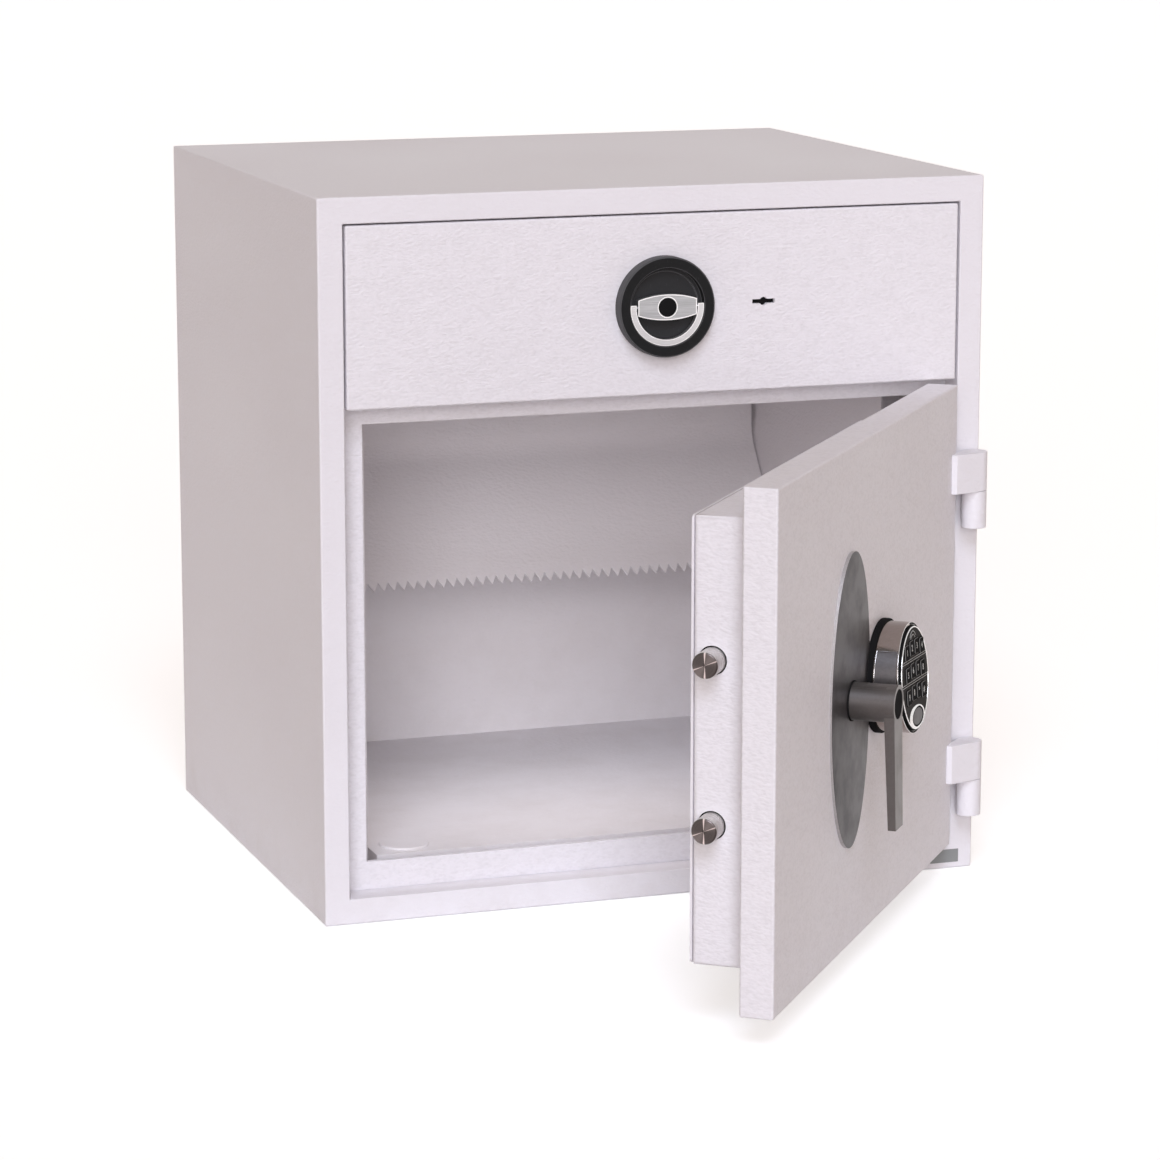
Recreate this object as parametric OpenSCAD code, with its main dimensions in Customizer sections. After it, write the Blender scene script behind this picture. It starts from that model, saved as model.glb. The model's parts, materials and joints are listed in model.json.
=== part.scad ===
// Drop safe with a deposit drawer above a hinged door.
// Millimetres. +X to the right, +Z up, and the front faces -Y.
// The origin is at the centre of the cabinet's base.
// The pieces are written with x from the left side, y from the front face and z
// from the base. The door's own pieces are written as if it were closed.

/* [Cabinet] */
// Width of the cabinet
cab_w = 600; // [540:1:760]
// Height of the cabinet
cab_h = 620; // [560:1:860]
// Depth of the cabinet
cab_d = 500; // [480:1:700]
// Thickness of the outer steel skin
skin_t = 3; // [2:0.5:5]
// Radius on the cabinet's outer edges
skin_r = 2; // [1:0.5:4]
// Width of the front border at the sides
border_w = 22; // [18:1:26]
// Height of the front border above the drawer
border_head = 22.5; // [18:0.5:30]
// Height of the front border under the door
border_foot = 22; // [18:1:30]

/* [Front frame] */
// Thickness of the frame plate behind the door and drawer
frame_t = 6; // [3:0.5:9]
// Gap between the frame plate and what closes against it
seat_gap = 0.3; // [0.2:0.1:1]
// Width of the jambs beside the doorway
jamb_w = 23; // [18:1:26]
// Height of the sill under the doorway
sill_h = 24; // [20:1:30]
// How far the door's top laps over the rail
door_lap = 14.2; // [10:0.2:22]
// How far the drawer front laps over the rail
drawer_lap = 18; // [12:0.5:20]
// How far the drawer front laps over the top of its opening
drawer_head_lap = 22; // [16:0.5:24]
// How far the drawer front laps over the sides of its opening
drawer_side_lap = 31; // [20:1:34]

/* [Walls and liner] */
// Thickness of the side walls, from outside to the liner's inner face
wall_t = 60.5; // [54:0.5:66]
// Thickness of the roof, down to the liner's inner face
roof_t = 30; // [24:1:34]
// Height of the liner's floor
floor_h = 45; // [40:1:46]
// Thickness of the back wall
back_t = 45; // [30:1:60]
// Thickness of the liner's sheet
liner_t = 1.5; // [1:0.5:3]
// Distance of the bolt groove's outer wall from the cabinet's side
groove_inset = 30; // [26:1:36]
// Depth of the bolt groove behind the frame plate
groove_d = 44.5; // [42:0.5:52]
// How far the groove runs back beside the liner's side wall
flange_l = 30; // [20:2:60]
// Depth of the groove behind the sill
sill_groove_d = 16; // [10:1:20]
// Height of the groove's bottom
groove_foot = 24; // [20:1:30]

/* [Floor fixings] */
// Distance of the fixing holes from the cabinet's sides
anchor_x = 93; // [84:1:120]
// Distance of the front fixing holes from the front
anchor_y = 78; // [76:1:100]
// Distance between the front and rear fixing holes
anchor_gap = 320; // [260:5:340]
// Radius of the fixing holes
anchor_r = 7; // [5:0.5:9]
// Radius of the fixing sleeves
sleeve_r = 13; // [11:0.5:16]
// Radius of the sleeves' flanges on the floor
flange_r = 22; // [18:0.5:26]
// Thickness of the sleeves' flanges
flange_t = 1.2; // [0.8:0.1:2]

/* [Drawer] */
// Height of the drawer front
drawer_front_h = 154; // [130:1:170]
// Gap at each side of the drawer front
drawer_gap = 2; // [1.5:0.1:3]
// Gap over the drawer front
drawer_top_gap = 1.5; // [1:0.1:3]
// Gap between the drawer front and the door
panel_gap = 2.4; // [1.5:0.1:4]
// Thickness of the drawer front's skin
drawer_skin_t = 4; // [2:0.5:6]
// Thickness of the drawer front's folded sides
drawer_side_t = 3; // [2:0.5:4]
// Radius on the drawer front's and the door's edges
panel_r = 2; // [1:0.5:3]
// Thickness of the drawer's sheet metal
tray_t = 1.5; // [1:0.25:2]
// Depth of the inner pan behind the frame plate
pan_d = 7; // [5:0.5:9]
// Gap between the inner pan and the frame's opening
pan_gap = 6; // [4:0.5:8]
// Length of the deposit tray
tray_l = 300; // [220:5:304]
// Height of the deposit tray's sides
tray_h = 93; // [70:1:96]
// Gap between the tray and the opening's lower edge
tray_gap = 3; // [2:0.5:4]
// How far the drawer pulls out
drawer_travel = 300; // [200:5:310]

/* [Drawer slides] */
// Width of a slide, from the liner to the tray
slide_w = 13; // [12:0.5:15]
// Height of a slide
slide_h = 45; // [38:1:50]
// Thickness of the slides' steel
slide_t = 1.3; // [1:0.1:1.5]
// Running gap between the slides' members
slide_gap = 0.7; // [0.4:0.1:0.9]
// Length of the slides beyond the drawer's travel
slide_hold = 30; // [20:5:40]
// Height of the slides' centre over the tray's floor
slide_rise = 36; // [30:1:44]

/* [Drawer handle] */
// Radius of the handle cup's rim
cup_r = 43; // [41:0.5:48]
// How far the cup sits to the right of the drawer's middle
cup_shift = 3.2; // [0:0.2:6]
// Radius of the rim's front edge, inside its chamfer
cup_front_r = 42.2; // [39:0.1:42.5]
// Height of the rim's chamfer
cup_chamfer = 1; // [0.5:0.5:2.5]
// How far the rim stands out of the drawer front
cup_rise = 12; // [10:0.5:13]
// Radius of the cup's body behind the rim
cup_body_r = 36; // [35:0.5:39]
// Radius of the cup's round recess
cup_hole_r = 33.5; // [31:0.5:35]
// How far the cup's body reaches behind the front face
cup_back = 22; // [20:0.5:23]
// Depth of the recess behind the rim
recess_d = 7; // [7:0.5:9]
// Depth of the dish in the recess's floor
dish_d = 1.2; // [0.6:0.2:3]
// Radius of the dish
dish_r = 30; // [26:0.5:32]
// Height of the eye-shaped bar at its middle
eye_h = 22; // [19:0.5:24]
// Height of the eye-shaped bar at its ends
eye_end_h = 13.5; // [10:0.5:16]
// Thickness of the eye-shaped bar
eye_t = 6.4; // [5:0.1:7]
// Radius of the lock cylinder in the bar
barrel_r = 8.2; // [6:0.1:9]
// Clearance of the bail in the cup and round the eye-shaped bar
bail_gap = 0.4; // [0.3:0.05:0.8]
// Width of the bail's ring
bail_w = 5.4; // [4:0.1:7]
// Thickness of the bail
bail_t = 5; // [4:0.2:5.4]
// Radius of the bail's pivot pins
bail_pin_r = 1.4; // [1:0.1:1.6]
// Radius of the latch's spindle
latch_spindle_r = 6; // [5:0.5:7]
// Reach of the latch's cam from the spindle
cam_reach = 66; // [64:0.5:68]
// Width of the latch's cam
cam_w = 16; // [14:0.5:20]
// Thickness of the latch's cam
cam_t = 5; // [4:0.5:7]

/* [Drawer lock] */
// Distance of the keyhole from the middle of the drawer
keyhole_x = 95; // [90:1:120]
// Length of the keyhole's slot
keyhole_l = 20.4; // [18:0.2:26]
// Height of the keyhole's slot
keyhole_h = 3.7; // [3:0.1:5]
// Radius of the keyhole's centre
keyhole_r = 3.6; // [3:0.05:5]
// Width of the lock's case
case_w = 38; // [30:1:44]
// Height of the lock's case
case_h = 43; // [36:1:46]
// Depth of the lock's case
case_d = 16; // [14:0.5:18]
// Width of the lock's bolt
key_bolt_w = 16; // [12:0.5:20]
// Thickness of the lock's bolt
key_bolt_t = 7; // [5:0.5:8]
// How far the lock's bolt moves
key_bolt_travel = 12; // [8:0.5:12]
// Length of the keeper
keeper_l = 190; // [180:5:260]

/* [Sweep flap] */
// Distance of the flap's rod from the front face
flap_y = 68; // [67:0.5:80]
// Distance of the flap's rod under the ceiling
flap_drop = 9; // [8:0.5:12]
// Radius of the flap's rod
rod_r = 2.5; // [2:0.25:3]
// Thickness of the flap
flap_t = 1.5; // [1:0.25:2]
// Gap between the flap and the tray
flap_gap = 2; // [1.5:0.5:4]
// Width of the flap's bearing brackets
bracket_w = 12; // [8:1:18]

/* [Baffle] */
// Distance of the baffle's upright leg from the front face
baffle_y = 388; // [372:1:400]
// Height of the baffle's bend
bend_z = 335; // [320:1:360]
// Distance of the baffle's toothed edge from the front face
teeth_y = 303; // [290:1:330]
// Height of the toothed edge
teeth_z = 223; // [200:1:250]
// Radius of the baffle's bend
bend_r = 40; // [10:5:60]
// Gap between the baffle's ends and the side walls
baffle_end_gap = 2; // [1:0.5:4]
// Thickness of the baffle
baffle_t = 2; // [1.5:0.5:3]
// Distance from tooth to tooth
tooth_pitch = 9.4; // [6:0.2:16]
// Height of a tooth along the plate
tooth_h = 9; // [5:0.5:14]
// Width of a tooth's blunt tip
tooth_tip = 0.8; // [0.5:0.1:2]
// Lower edge of the strip in front of the upright leg
strip_z = 349; // [340:1:380]
// Height of the strip
strip_h = 110; // [80:5:115]
// Thickness of the strip
strip_t = 6; // [2:0.5:10]
// Gap between the strip's ends and the side walls
strip_end_gap = 5; // [2:0.5:10]

/* [Door] */
// Angle by which the door stands open
door_open = 51.7; // [0:0.1:180]
// Thickness of the door plate
door_t = 27.7; // [24:0.1:30]
// Gap at the door's free edge
free_gap = 2.5; // [2.5:0.1:4]
// Gap at the door's hinged edge
hinge_gap = 1.5; // [1:0.1:2]
// Gap under the door
foot_gap = 4.2; // [2:0.1:6]
// Thickness of the door's front skin
door_skin_t = 5; // [3:0.5:8]
// Thickness of the door's folded sides and back lip
door_lip_t = 2; // [1.5:0.5:3]
// Distance of the plug from the door's edges at the sides
plug_side = 30.5; // [26:0.5:36]
// Distance of the plug from the door's edges at its top and foot
plug_foot = 29; // [24:0.5:34]
// Gap between the closed door's back and the liner's lip
plug_gap = 1; // [0.5:0.1:3]
// Thickness of the plug's sheet
plug_t = 2; // [1.5:0.5:3]
// Radius on the plug's edges
plug_r = 4; // [3:0.5:4]
// Thickness of the back cover
cover_t = 2; // [1:0.5:3]
// Distance of the back cover's edge from the plug's sides
cover_inset = 1; // [0:0.5:4]
// Width of the plug's rim round the back cover's opening
cover_rim = 18; // [14:1:24]
// Thickness of the door's filling
fill_t = 14; // [8:0.5:15]
// Radius of the cover screws' heads
screw_r = 4; // [3:0.5:5]

/* [Hinges] */
// Distance of the hinge axis from the cabinet's side
axis_x = 10; // [9:0.5:11]
// Distance of the hinge axis in front of the front face
axis_y = 12.8; // [12:0.1:14]
// Radius of the hinge barrels
knuckle_r = 11; // [9:0.5:11]
// Radius of the hinge pins
hinge_pin_r = 5; // [4:0.25:6]
// Height of the door's knuckles
block_h = 34.8; // [28:0.1:40]
// Height of the cabinet's knuckles
knuckle_h = 33; // [26:0.5:40]
// Distance of the lower hinge's joint from the door's foot
low_hinge = 59.3; // [50:0.5:70]
// Distance of the upper hinge's joint from the door's top
high_hinge = 94.4; // [80:0.5:110]
// Gap between two knuckles
knuckle_gap = 0.3; // [0.2:0.1:0.6]

/* [Bolts] */
// Radius of the locking bolts
bolt_r = 10.5; // [8:0.25:11]
// Distance of each bolt from the door's mid height
bolt_rise = 65; // [50:1:90]
// Distance of the bolts' axis from the plug's back
bolt_in = 15.5; // [14:0.5:18]
// How far the bolts stand out of the plug
bolt_out = 20; // [12:0.5:20.5]
// How far the bolts draw back
bolt_travel = 16; // [12:0.5:16]
// How far the fixed dogs stand out at the hinged side
dog_out = 12; // [8:0.5:14]
// Clearance of the bolts in their bushes
bush_gap = 0.06; // [0.03:0.01:0.1]
// Clearance round the bolts in the plug's wall
bolt_hole_gap = 1.1; // [0.5:0.1:2]
// Wall of the bolts' bushes
bush_t = 1.4; // [1:0.1:1.5]
// Length of the bolts' bushes
bush_l = 18; // [14:1:24]
// Distance of the bolt bar from the plug's free side
bar_in = 41; // [38:1:60]
// Width of the bolt bar
bar_w = 14; // [10:1:18]
// Thickness of the bolt bar
bar_t = 14; // [10:1:18]
// Height of the bolt bar's arm
arm_h = 34; // [30:1:40]
// Thickness of the bolt bar's arm
arm_t = 4; // [3:0.5:5]
// Reach of the arm past the spindle
arm_past = 30; // [24:1:34]

/* [Lock] */
// Width of the lock case
lock_w = 64; // [50:1:76]
// Height of the lock case
lock_h = 84; // [60:1:100]
// Depth of the lock case
lock_d = 50; // [48:1:53]
// Height of the lock's bolt
lock_bolt_h = 12; // [8:0.5:16]
// Thickness of the lock's bolt
lock_bolt_t = 9; // [6:0.5:10]
// How far the lock's bolt moves
lock_bolt_travel = 16; // [10:0.5:17]
// Running clearance of the locks' bolts
lock_gap = 0.3; // [0.2:0.05:0.5]

/* [Escutcheon] */
// Width of the oval escutcheon
oval_w = 114; // [100:1:124]
// Height of the oval escutcheon
oval_h = 243; // [200:1:270]
// Thickness of the escutcheon along its middle
oval_t = 3; // [1.5:0.5:4]
// How much thinner the escutcheon is at its sides
oval_fall = 1.3; // [0.2:0.1:1.4]

/* [Door handle] */
// Distance of the spindle from the door's free edge
handle_x = 207; // [190:1:230]
// Radius of the hub
hub_r = 15.5; // [13:0.5:17]
// How far the handle stands out of the door
handle_out = 41; // [36:0.5:50]
// Radius of the dark disc in the hub
hub_cap_r = 12.2; // [9:0.1:12.5]
// Depth of the dark disc's seat
hub_cap_t = 1.6; // [1:0.1:2.4]
// Length of the lever from the spindle to its tip
lever_l = 102; // [80:1:110]
// Width of the lever at its root
lever_root_w = 25; // [20:0.5:30]
// Width of the lever at its tip
lever_tip_w = 22; // [14:0.5:24]
// Thickness of the lever at its root
lever_root_t = 8.5; // [6:0.5:10]
// Thickness of the lever at its tip
lever_tip_t = 6.5; // [4:0.5:7]
// How far the lever's tip stands out past its root
lever_lean = 2; // [0:0.5:4]
// Radius of the handle's spindle
spindle_r = 6; // [5:0.25:6]
// Running clearance of spindles and pins
run_gap = 0.05; // [0.02:0.01:0.1]
// Radius of the spindle's cam
crank_r = 18; // [16:0.5:19]
// Thickness of the spindle's cam
crank_t = 5; // [4:0.5:6]
// Radius of the cam's drive pin
drive_r = 3; // [2:0.25:3.5]
// Clearance of the drive pin in the arm's slot
drive_gap = 1; // [0.8:0.1:1.5]

/* [Keypad] */
// Distance of the keypad from the handle's spindle
keypad_x = 93.5; // [90:0.5:110]
// Radius of the keypad's base
base_r = 47.5; // [46:0.5:50]
// Thickness of the keypad's base
base_t = 6; // [3:0.5:8]
// Radius of the keypad's body
body_r = 45.5; // [45:0.5:46]
// How far the body stands out of the door
body_out = 28; // [24:0.5:32]
// Slope of the body's front, whose lower edge stands further out
pad_slope = 4.7; // [0:0.1:6]
// Turn of the keys' rows about the middle of the front
pad_roll = 2.5; // [0:0.1:4]
// Width of the body's rim round the face
body_rim = 2; // [1.5:0.1:3]
// Gap between the body's rim and the face
face_gap = 0.6; // [0.3:0.1:1.2]
// How far the face stands out of the body
face_rise = 2; // [1:0.1:3]
// Thickness of the face
face_t = 3.5; // [2.5:0.5:5]
// Width of a key
key_w = 12.2; // [10:0.1:13]
// Height of a key
key_h = 12.6; // [10:0.1:13]
// Distance from key to key along a row
key_pitch = 15.5; // [14.5:0.1:15.6]
// Distance from row to row
row_pitch = 18.4; // [17:0.1:18.6]
// How much lower the outer keys of a row lie
row_arc = 1.8; // [0:0.1:2]
// Height of the middle row over the keypad's centre
row_rise = 7; // [6:0.1:8]
// Radius on a key's corners
key_r = 2; // [1:0.25:3]
// How far a pressed key still stands out of the face
key_lip = 0.2; // [0.1:0.1:1]
// How far a key travels
key_travel = 1; // [0.6:0.1:1]
// Clearance round a key
key_gap = 0.35; // [0.25:0.05:0.6]
// Length of the oval badge
badge_l = 40; // [30:1:42]
// Height of the oval badge
badge_h = 15; // [12:0.5:16]
// Thickness of the oval badge
badge_t = 1.2; // [0.8:0.1:2]
// Distance of the badge below the keypad's centre
badge_drop = 32; // [31:0.5:33]
// Height of the battery cover
battery_h = 56; // [40:1:60]
// Distance of the battery cover behind the body's front
battery_inset = 1.6; // [1:0.1:4]
// Thickness of the battery cover
battery_t = 1; // [0.6:0.1:1.2]

/* [Hidden] */
$fn = 64;
// Overrun of a cut past the face that it opens
cut = 2;

// Colours
coat = [0.91, 0.89, 0.91];
dark_metal = [0.40, 0.39, 0.41];
pewter = [0.45, 0.44, 0.43];
black = [0.07, 0.07, 0.07];
silver = [0.78, 0.78, 0.79];
chrome = [0.85, 0.85, 0.86];
zinc = [0.62, 0.63, 0.65];
filler = [0.62, 0.60, 0.56];

// Recess in the cabinet's front
recess_x0 = border_w;
recess_x1 = cab_w - border_w;
recess_z0 = border_foot;
recess_z1 = cab_h - border_head;
frame_y = door_t + seat_gap;
frame_back = frame_y + frame_t;

// Drawer front and door, closed
drawer_x0 = recess_x0 + drawer_gap;
drawer_x1 = recess_x1 - drawer_gap;
drawer_z1 = recess_z1 - drawer_top_gap;
drawer_z0 = drawer_z1 - drawer_front_h;
door_x0 = recess_x0 + free_gap;
door_x1 = recess_x1 - hinge_gap;
door_z0 = recess_z0 + foot_gap;
door_z1 = drawer_z0 - panel_gap;
door_mid = (door_z0 + door_z1) / 2;

// Openings in the frame plate
doorway_x0 = recess_x0 + jamb_w;
doorway_x1 = recess_x1 - jamb_w;
doorway_z0 = recess_z0 + sill_h;
doorway_z1 = door_z1 - door_lap;
bay_x0 = drawer_x0 + drawer_side_lap;
bay_x1 = drawer_x1 - drawer_side_lap;
bay_z0 = drawer_z0 + drawer_lap;
bay_z1 = drawer_z1 - drawer_head_lap;

// Inside of the liner
in_x0 = wall_t;
in_x1 = cab_w - wall_t;
in_y1 = cab_d - back_t;
in_z0 = floor_h;
in_z1 = cab_h - roof_t;
groove_x0 = groove_inset;
groove_x1 = cab_w - groove_inset;
groove_y1 = frame_back + groove_d;
sill_groove_y1 = frame_back + sill_groove_d;

// Drawer parts
pan_front = door_t - cut;
pan_back = frame_back + pan_d;
pan_x0 = bay_x0 + pan_gap;
pan_x1 = bay_x1 - pan_gap;
pan_z0 = bay_z0 + pan_gap;
pan_z1 = bay_z1 - tray_gap;
tray_x0 = in_x0 + slide_w;
tray_x1 = in_x1 - slide_w;
tray_z0 = bay_z0 + tray_gap;
tray_z1 = tray_z0 + tray_h;
tray_y1 = pan_back + tray_l;
mid_x = cab_w / 2;
cup_x = mid_x + cup_shift;
cup_z = drawer_z0 + drawer_front_h / 2 - 0.6;
slide_z = tray_z0 + slide_rise;
slide_y0 = pan_back + cut;
slide_l = drawer_travel + slide_hold;

// Drawer handle and latch: the eye bar lies between the recess's floor and the rim
cup_floor = recess_d - cup_rise;
eye_y1 = cup_floor - 0.5;
eye_y0 = eye_y1 - eye_t;
bail_y = (eye_y0 + eye_y1) / 2;
bail_r = cup_hole_r - bail_gap;
// The eye bar ends where its corners clear the bail's ring
eye_l = 2 * sqrt(pow(bail_r - bail_w - bail_gap, 2) - eye_end_h * eye_end_h / 4);
bail_rise = 2.4;
cam_y0 = pan_back + 0.6;
cam_y1 = cam_y0 + cam_t;
// Radius of the eye bar's arched edges
eye_arc = (eye_l * eye_l / 4 + pow((eye_h - eye_end_h) / 2, 2)) / (eye_h - eye_end_h);

// Drawer lock
key_x = mid_x + keyhole_x;
case_y1 = pan_back + case_d;
case_z0 = cup_z - case_h / 2;
case_z1 = cup_z + case_h / 2;
key_bolt_y = pan_back + case_d / 2 + 0.5;
key_bolt_z0 = case_z0 + 8;
key_bolt_z1 = bay_z1 - tray_gap;
keeper_back = pan_back - 0.3;
keeper_h = key_bolt_travel + 2;

// Sweep flap
flap_z = in_z1 - flap_drop;
flap_tube_r = rod_r + 1.5;

// Baffle
slope_angle = atan2(bend_z - teeth_z, baffle_y - teeth_y);
baffle_x0 = in_x0 + baffle_end_gap;
baffle_x1 = in_x1 - baffle_end_gap;
tooth_n = floor((baffle_x1 - baffle_x0) / tooth_pitch);
tooth_step = (baffle_x1 - baffle_x0) / tooth_n;
bend_steps = 8;
comb_drop = tooth_tip * tooth_h / (2 * (tooth_step - tooth_tip));
comb_w = (tooth_step - tooth_tip) / 2 * (1 + comb_drop / tooth_h);

// Door plug
plug_x0 = door_x0 + plug_side;
plug_x1 = door_x1 - plug_side - 1;
plug_z0 = door_z0 + plug_foot;
plug_z1 = door_z1 - plug_foot;
plug_back = groove_y1 - plug_gap - cover_t;
fill_y1 = door_skin_t + fill_t;
cover_y1 = plug_back + cover_t;

// Hinges
hinge_x = cab_w - axis_x;
hinge_y = -axis_y;
low_joint = door_z0 + low_hinge;
high_joint = door_z1 - high_hinge;
// Corner where the door's knuckle leaves the door's face, seen from the axis
step_x = -31;
step_y = 7.8;
step_reach = norm([step_x, step_y]);
tangent_l = sqrt(step_reach * step_reach - knuckle_r * knuckle_r);
tangent_a = atan2(-step_y, -step_x) - asin(knuckle_r / step_reach);

// Bolt work
bolt_y = plug_back - bolt_in;
spindle_x = door_x0 + handle_x;
spindle_z = door_mid;
bolt_zs = [door_mid - bolt_rise, door_mid + bolt_rise];
bolt_tip = plug_x0 - bolt_out;
bar_x0 = plug_x0 + bar_in;
bar_x1 = bar_x0 + bar_w;
arm_y0 = bolt_y - 0.5;
arm_y1 = arm_y0 + arm_t;
arm_x1 = spindle_x + arm_past;
crank_y1 = arm_y0 - 1;
crank_y0 = crank_y1 - crank_t;
// The drive pin turns through a right angle, from 45 degrees before its top to 45 after
drive_reach = bolt_travel / sqrt(2);
drive_side = bolt_travel / 2;

// Lock in the door
lock_x0 = arm_x1 + bolt_travel + 6;
lock_y1 = fill_y1 + lock_d;
lock_bolt_x0 = lock_x0 - 2;
lock_bolt_x1 = lock_x0 + lock_bolt_travel + 18;

// Escutcheon, an ellipse whose face is part of a wide cylinder
oval_y = -oval_t;
oval_steps = 120;
oval_points = [for (i = [0 : oval_steps - 1])
    [oval_w / 2 * cos(360 * i / oval_steps), oval_h / 2 * sin(360 * i / oval_steps)]];
oval_arc = (oval_w * oval_w / 4 + oval_fall * oval_fall) / (2 * oval_fall);

// Handle
lever_y0 = -handle_out;
hub_y1 = oval_y - 0.3;
hub_y0 = lever_y0 + lever_root_t;

// Keypad
pad_x = spindle_x + keypad_x;
pad_z = door_mid + 1;
body_y0 = -body_out;
face_r = body_r - body_rim - face_gap;
face_y0 = -face_rise;
face_y1 = face_y0 + face_t;
pad_y0 = body_y0 - body_r * tan(pad_slope) - face_rise - cut;
body_floor = -base_t - 4;
key_y0 = face_y0 - key_travel - key_lip;
key_y1 = face_y1 - 0.5;

// Block between two opposite corners
module box(a, b) {
    translate(a) cube(b - a);
}

// Rectangle with rounded corners, from the origin
module round_rect(w, h, r) {
    translate([r, 0]) square([w - 2 * r, h]);
    translate([0, r]) square([w, h - 2 * r]);
    for (x = [r, w - r], y = [r, h - r]) {
        translate([x, y]) circle(r);
    }
}

// Block with the edges along Y rounded
module y_block(a, b, r) {
    translate([a.x, b.y, a.z]) rotate([90, 0, 0])
        linear_extrude(b.y - a.y) round_rect(b.x - a.x, b.z - a.z, r);
}

// Block with every edge rounded
module soft_box(a, b, r) {
    intersection() {
        y_block(a, b, r);
        translate(a) linear_extrude(b.z - a.z) round_rect(b.x - a.x, b.y - a.y, r);
        translate(a) rotate([90, 0, 90])
            linear_extrude(b.x - a.x) round_rect(b.y - a.y, b.z - a.z, r);
    }
}

// Cylinders along Y, X and Z
module y_rod(x, z, y0, y1, r) {
    translate([x, y1, z]) rotate([90, 0, 0]) cylinder(h = y1 - y0, r = r);
}
module x_rod(y, z, x0, x1, r) {
    translate([x0, y, z]) rotate([0, 90, 0]) cylinder(h = x1 - x0, r = r);
}
module z_rod(x, y, z0, z1, r) {
    translate([x, y, z0]) cylinder(h = z1 - z0, r = r);
}

// From the cabinet's corner to the part's origin
module in_row() {
    translate([-cab_w / 2, -cab_d / 2, 0]) children();
}

// From the closed door to the door as it stands open
module on_door() {
    in_row() translate([hinge_x, hinge_y, 0]) rotate([0, 0, door_open])
        translate([-hinge_x, -hinge_y, 0]) children();
}

// A piece and its twin at the other side of the cabinet
module both_sides() {
    children();
    translate([cab_w, 0, 0]) mirror([1, 0, 0]) children();
}

module at_anchors() {
    for (x = [anchor_x, cab_w - anchor_x], y = [anchor_y, anchor_y + anchor_gap]) {
        translate([x, y, 0]) children();
    }
}

// The cabinet
module outer_shell() {
    color(coat) in_row() difference() {
        soft_box([0, 0, 0], [cab_w, cab_d, cab_h], skin_r);
        difference() {
            box([skin_t, skin_t, skin_t], [cab_w - skin_t, cab_d - skin_t, cab_h - skin_t]);
            box([recess_x0 - skin_t, 0, recess_z0 - skin_t],
                [recess_x1 + skin_t, frame_y, recess_z1 + skin_t]);
        }
        box([recess_x0, -cut, recess_z0], [recess_x1, frame_y + cut, recess_z1]);
        at_anchors() z_rod(0, 0, -cut, skin_t + cut, sleeve_r);
    }
}

module front_frame() {
    color(coat) in_row() difference() {
        box([recess_x0 - skin_t, frame_y, recess_z0 - skin_t],
            [recess_x1 + skin_t, frame_back, recess_z1 + skin_t]);
        box([doorway_x0, 0, doorway_z0], [doorway_x1, frame_back + cut, doorway_z1]);
        box([bay_x0, 0, bay_z0], [bay_x1, frame_back + cut, bay_z1]);
    }
}

// The room inside the liner, grown outward by t
module liner_room(t) {
    box([in_x0 - t, frame_back, in_z0 - t], [in_x1 + t, in_y1 + t, in_z1 + t]);
    box([groove_x0 - t, frame_back, groove_foot - t],
        [groove_x1 + t, sill_groove_y1 + t, in_z1 + t]);
    both_sides() box([groove_x0 - t, frame_back, groove_foot - t],
        [in_x0 + t, groove_y1 + t, in_z1 + t]);
    both_sides() box([groove_x0 - t, frame_back, groove_foot - t],
        [in_x0 - liner_t + t, groove_y1 + flange_l + t, in_z1 + t]);
}

module inner_liner() {
    color(coat) in_row() difference() {
        liner_room(liner_t);
        translate([0, -cut, 0]) liner_room(0);
        liner_room(0);
        at_anchors() z_rod(0, 0, floor_h - liner_t - cut, floor_h + cut, sleeve_r);
    }
}

module barrier_fill() {
    color(filler) in_row() difference() {
        box([skin_t, frame_back, skin_t], [cab_w - skin_t, cab_d - skin_t, cab_h - skin_t]);
        liner_room(liner_t);
        at_anchors() z_rod(0, 0, 0, floor_h, sleeve_r);
    }
}

module anchor_sleeves() {
    color(coat) in_row() at_anchors() difference() {
        union() {
            z_rod(0, 0, 0, floor_h + flange_t, sleeve_r);
            z_rod(0, 0, floor_h, floor_h + flange_t, flange_r);
        }
        z_rod(0, 0, -cut, floor_h + flange_t + cut, anchor_r);
    }
}

// Section of the bent sheet, as distance from the front and height
module sheet_section() {
    centre = [baffle_y - bend_r, bend_z + bend_r * tan((90 - slope_angle) / 2)];
    turns = [for (i = [0:bend_steps]) (slope_angle - 90) * (1 - i / bend_steps)];
    outer = [for (a = turns) centre + bend_r * [cos(a), sin(a)]];
    inner = [for (i = [bend_steps:-1:0])
        centre + (bend_r - baffle_t) * [cos(turns[i]), sin(turns[i])]];
    tip = [teeth_y - baffle_t * sin(slope_angle), teeth_z + baffle_t * cos(slope_angle)];
    polygon(concat([[teeth_y, teeth_z]], outer, [[baffle_y, in_z1], [baffle_y - baffle_t, in_z1]],
        inner, [tip]));
}

// Comb that cuts the notches between the teeth, with its back below the sheet's edge
module notch_comb() {
    points = [for (i = [0:tooth_n], p = [[-comb_w, -comb_drop], [0, tooth_h], [comb_w, -comb_drop]])
        [i * tooth_step + p.x, p.y]];
    low = -comb_drop - tooth_h;
    polygon(concat(points, [[tooth_n * tooth_step + comb_w, low], [-comb_w, low]]));
}

module anti_fish_baffle() {
    color(coat) in_row() difference() {
        translate([baffle_x0, 0, 0]) rotate([90, 0, 90])
            linear_extrude(baffle_x1 - baffle_x0) sheet_section();
        translate([baffle_x0, teeth_y, teeth_z]) rotate([slope_angle, 0, 0]) translate([0, 0, -baffle_t])
            linear_extrude(3 * baffle_t) notch_comb();
    }
}

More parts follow.
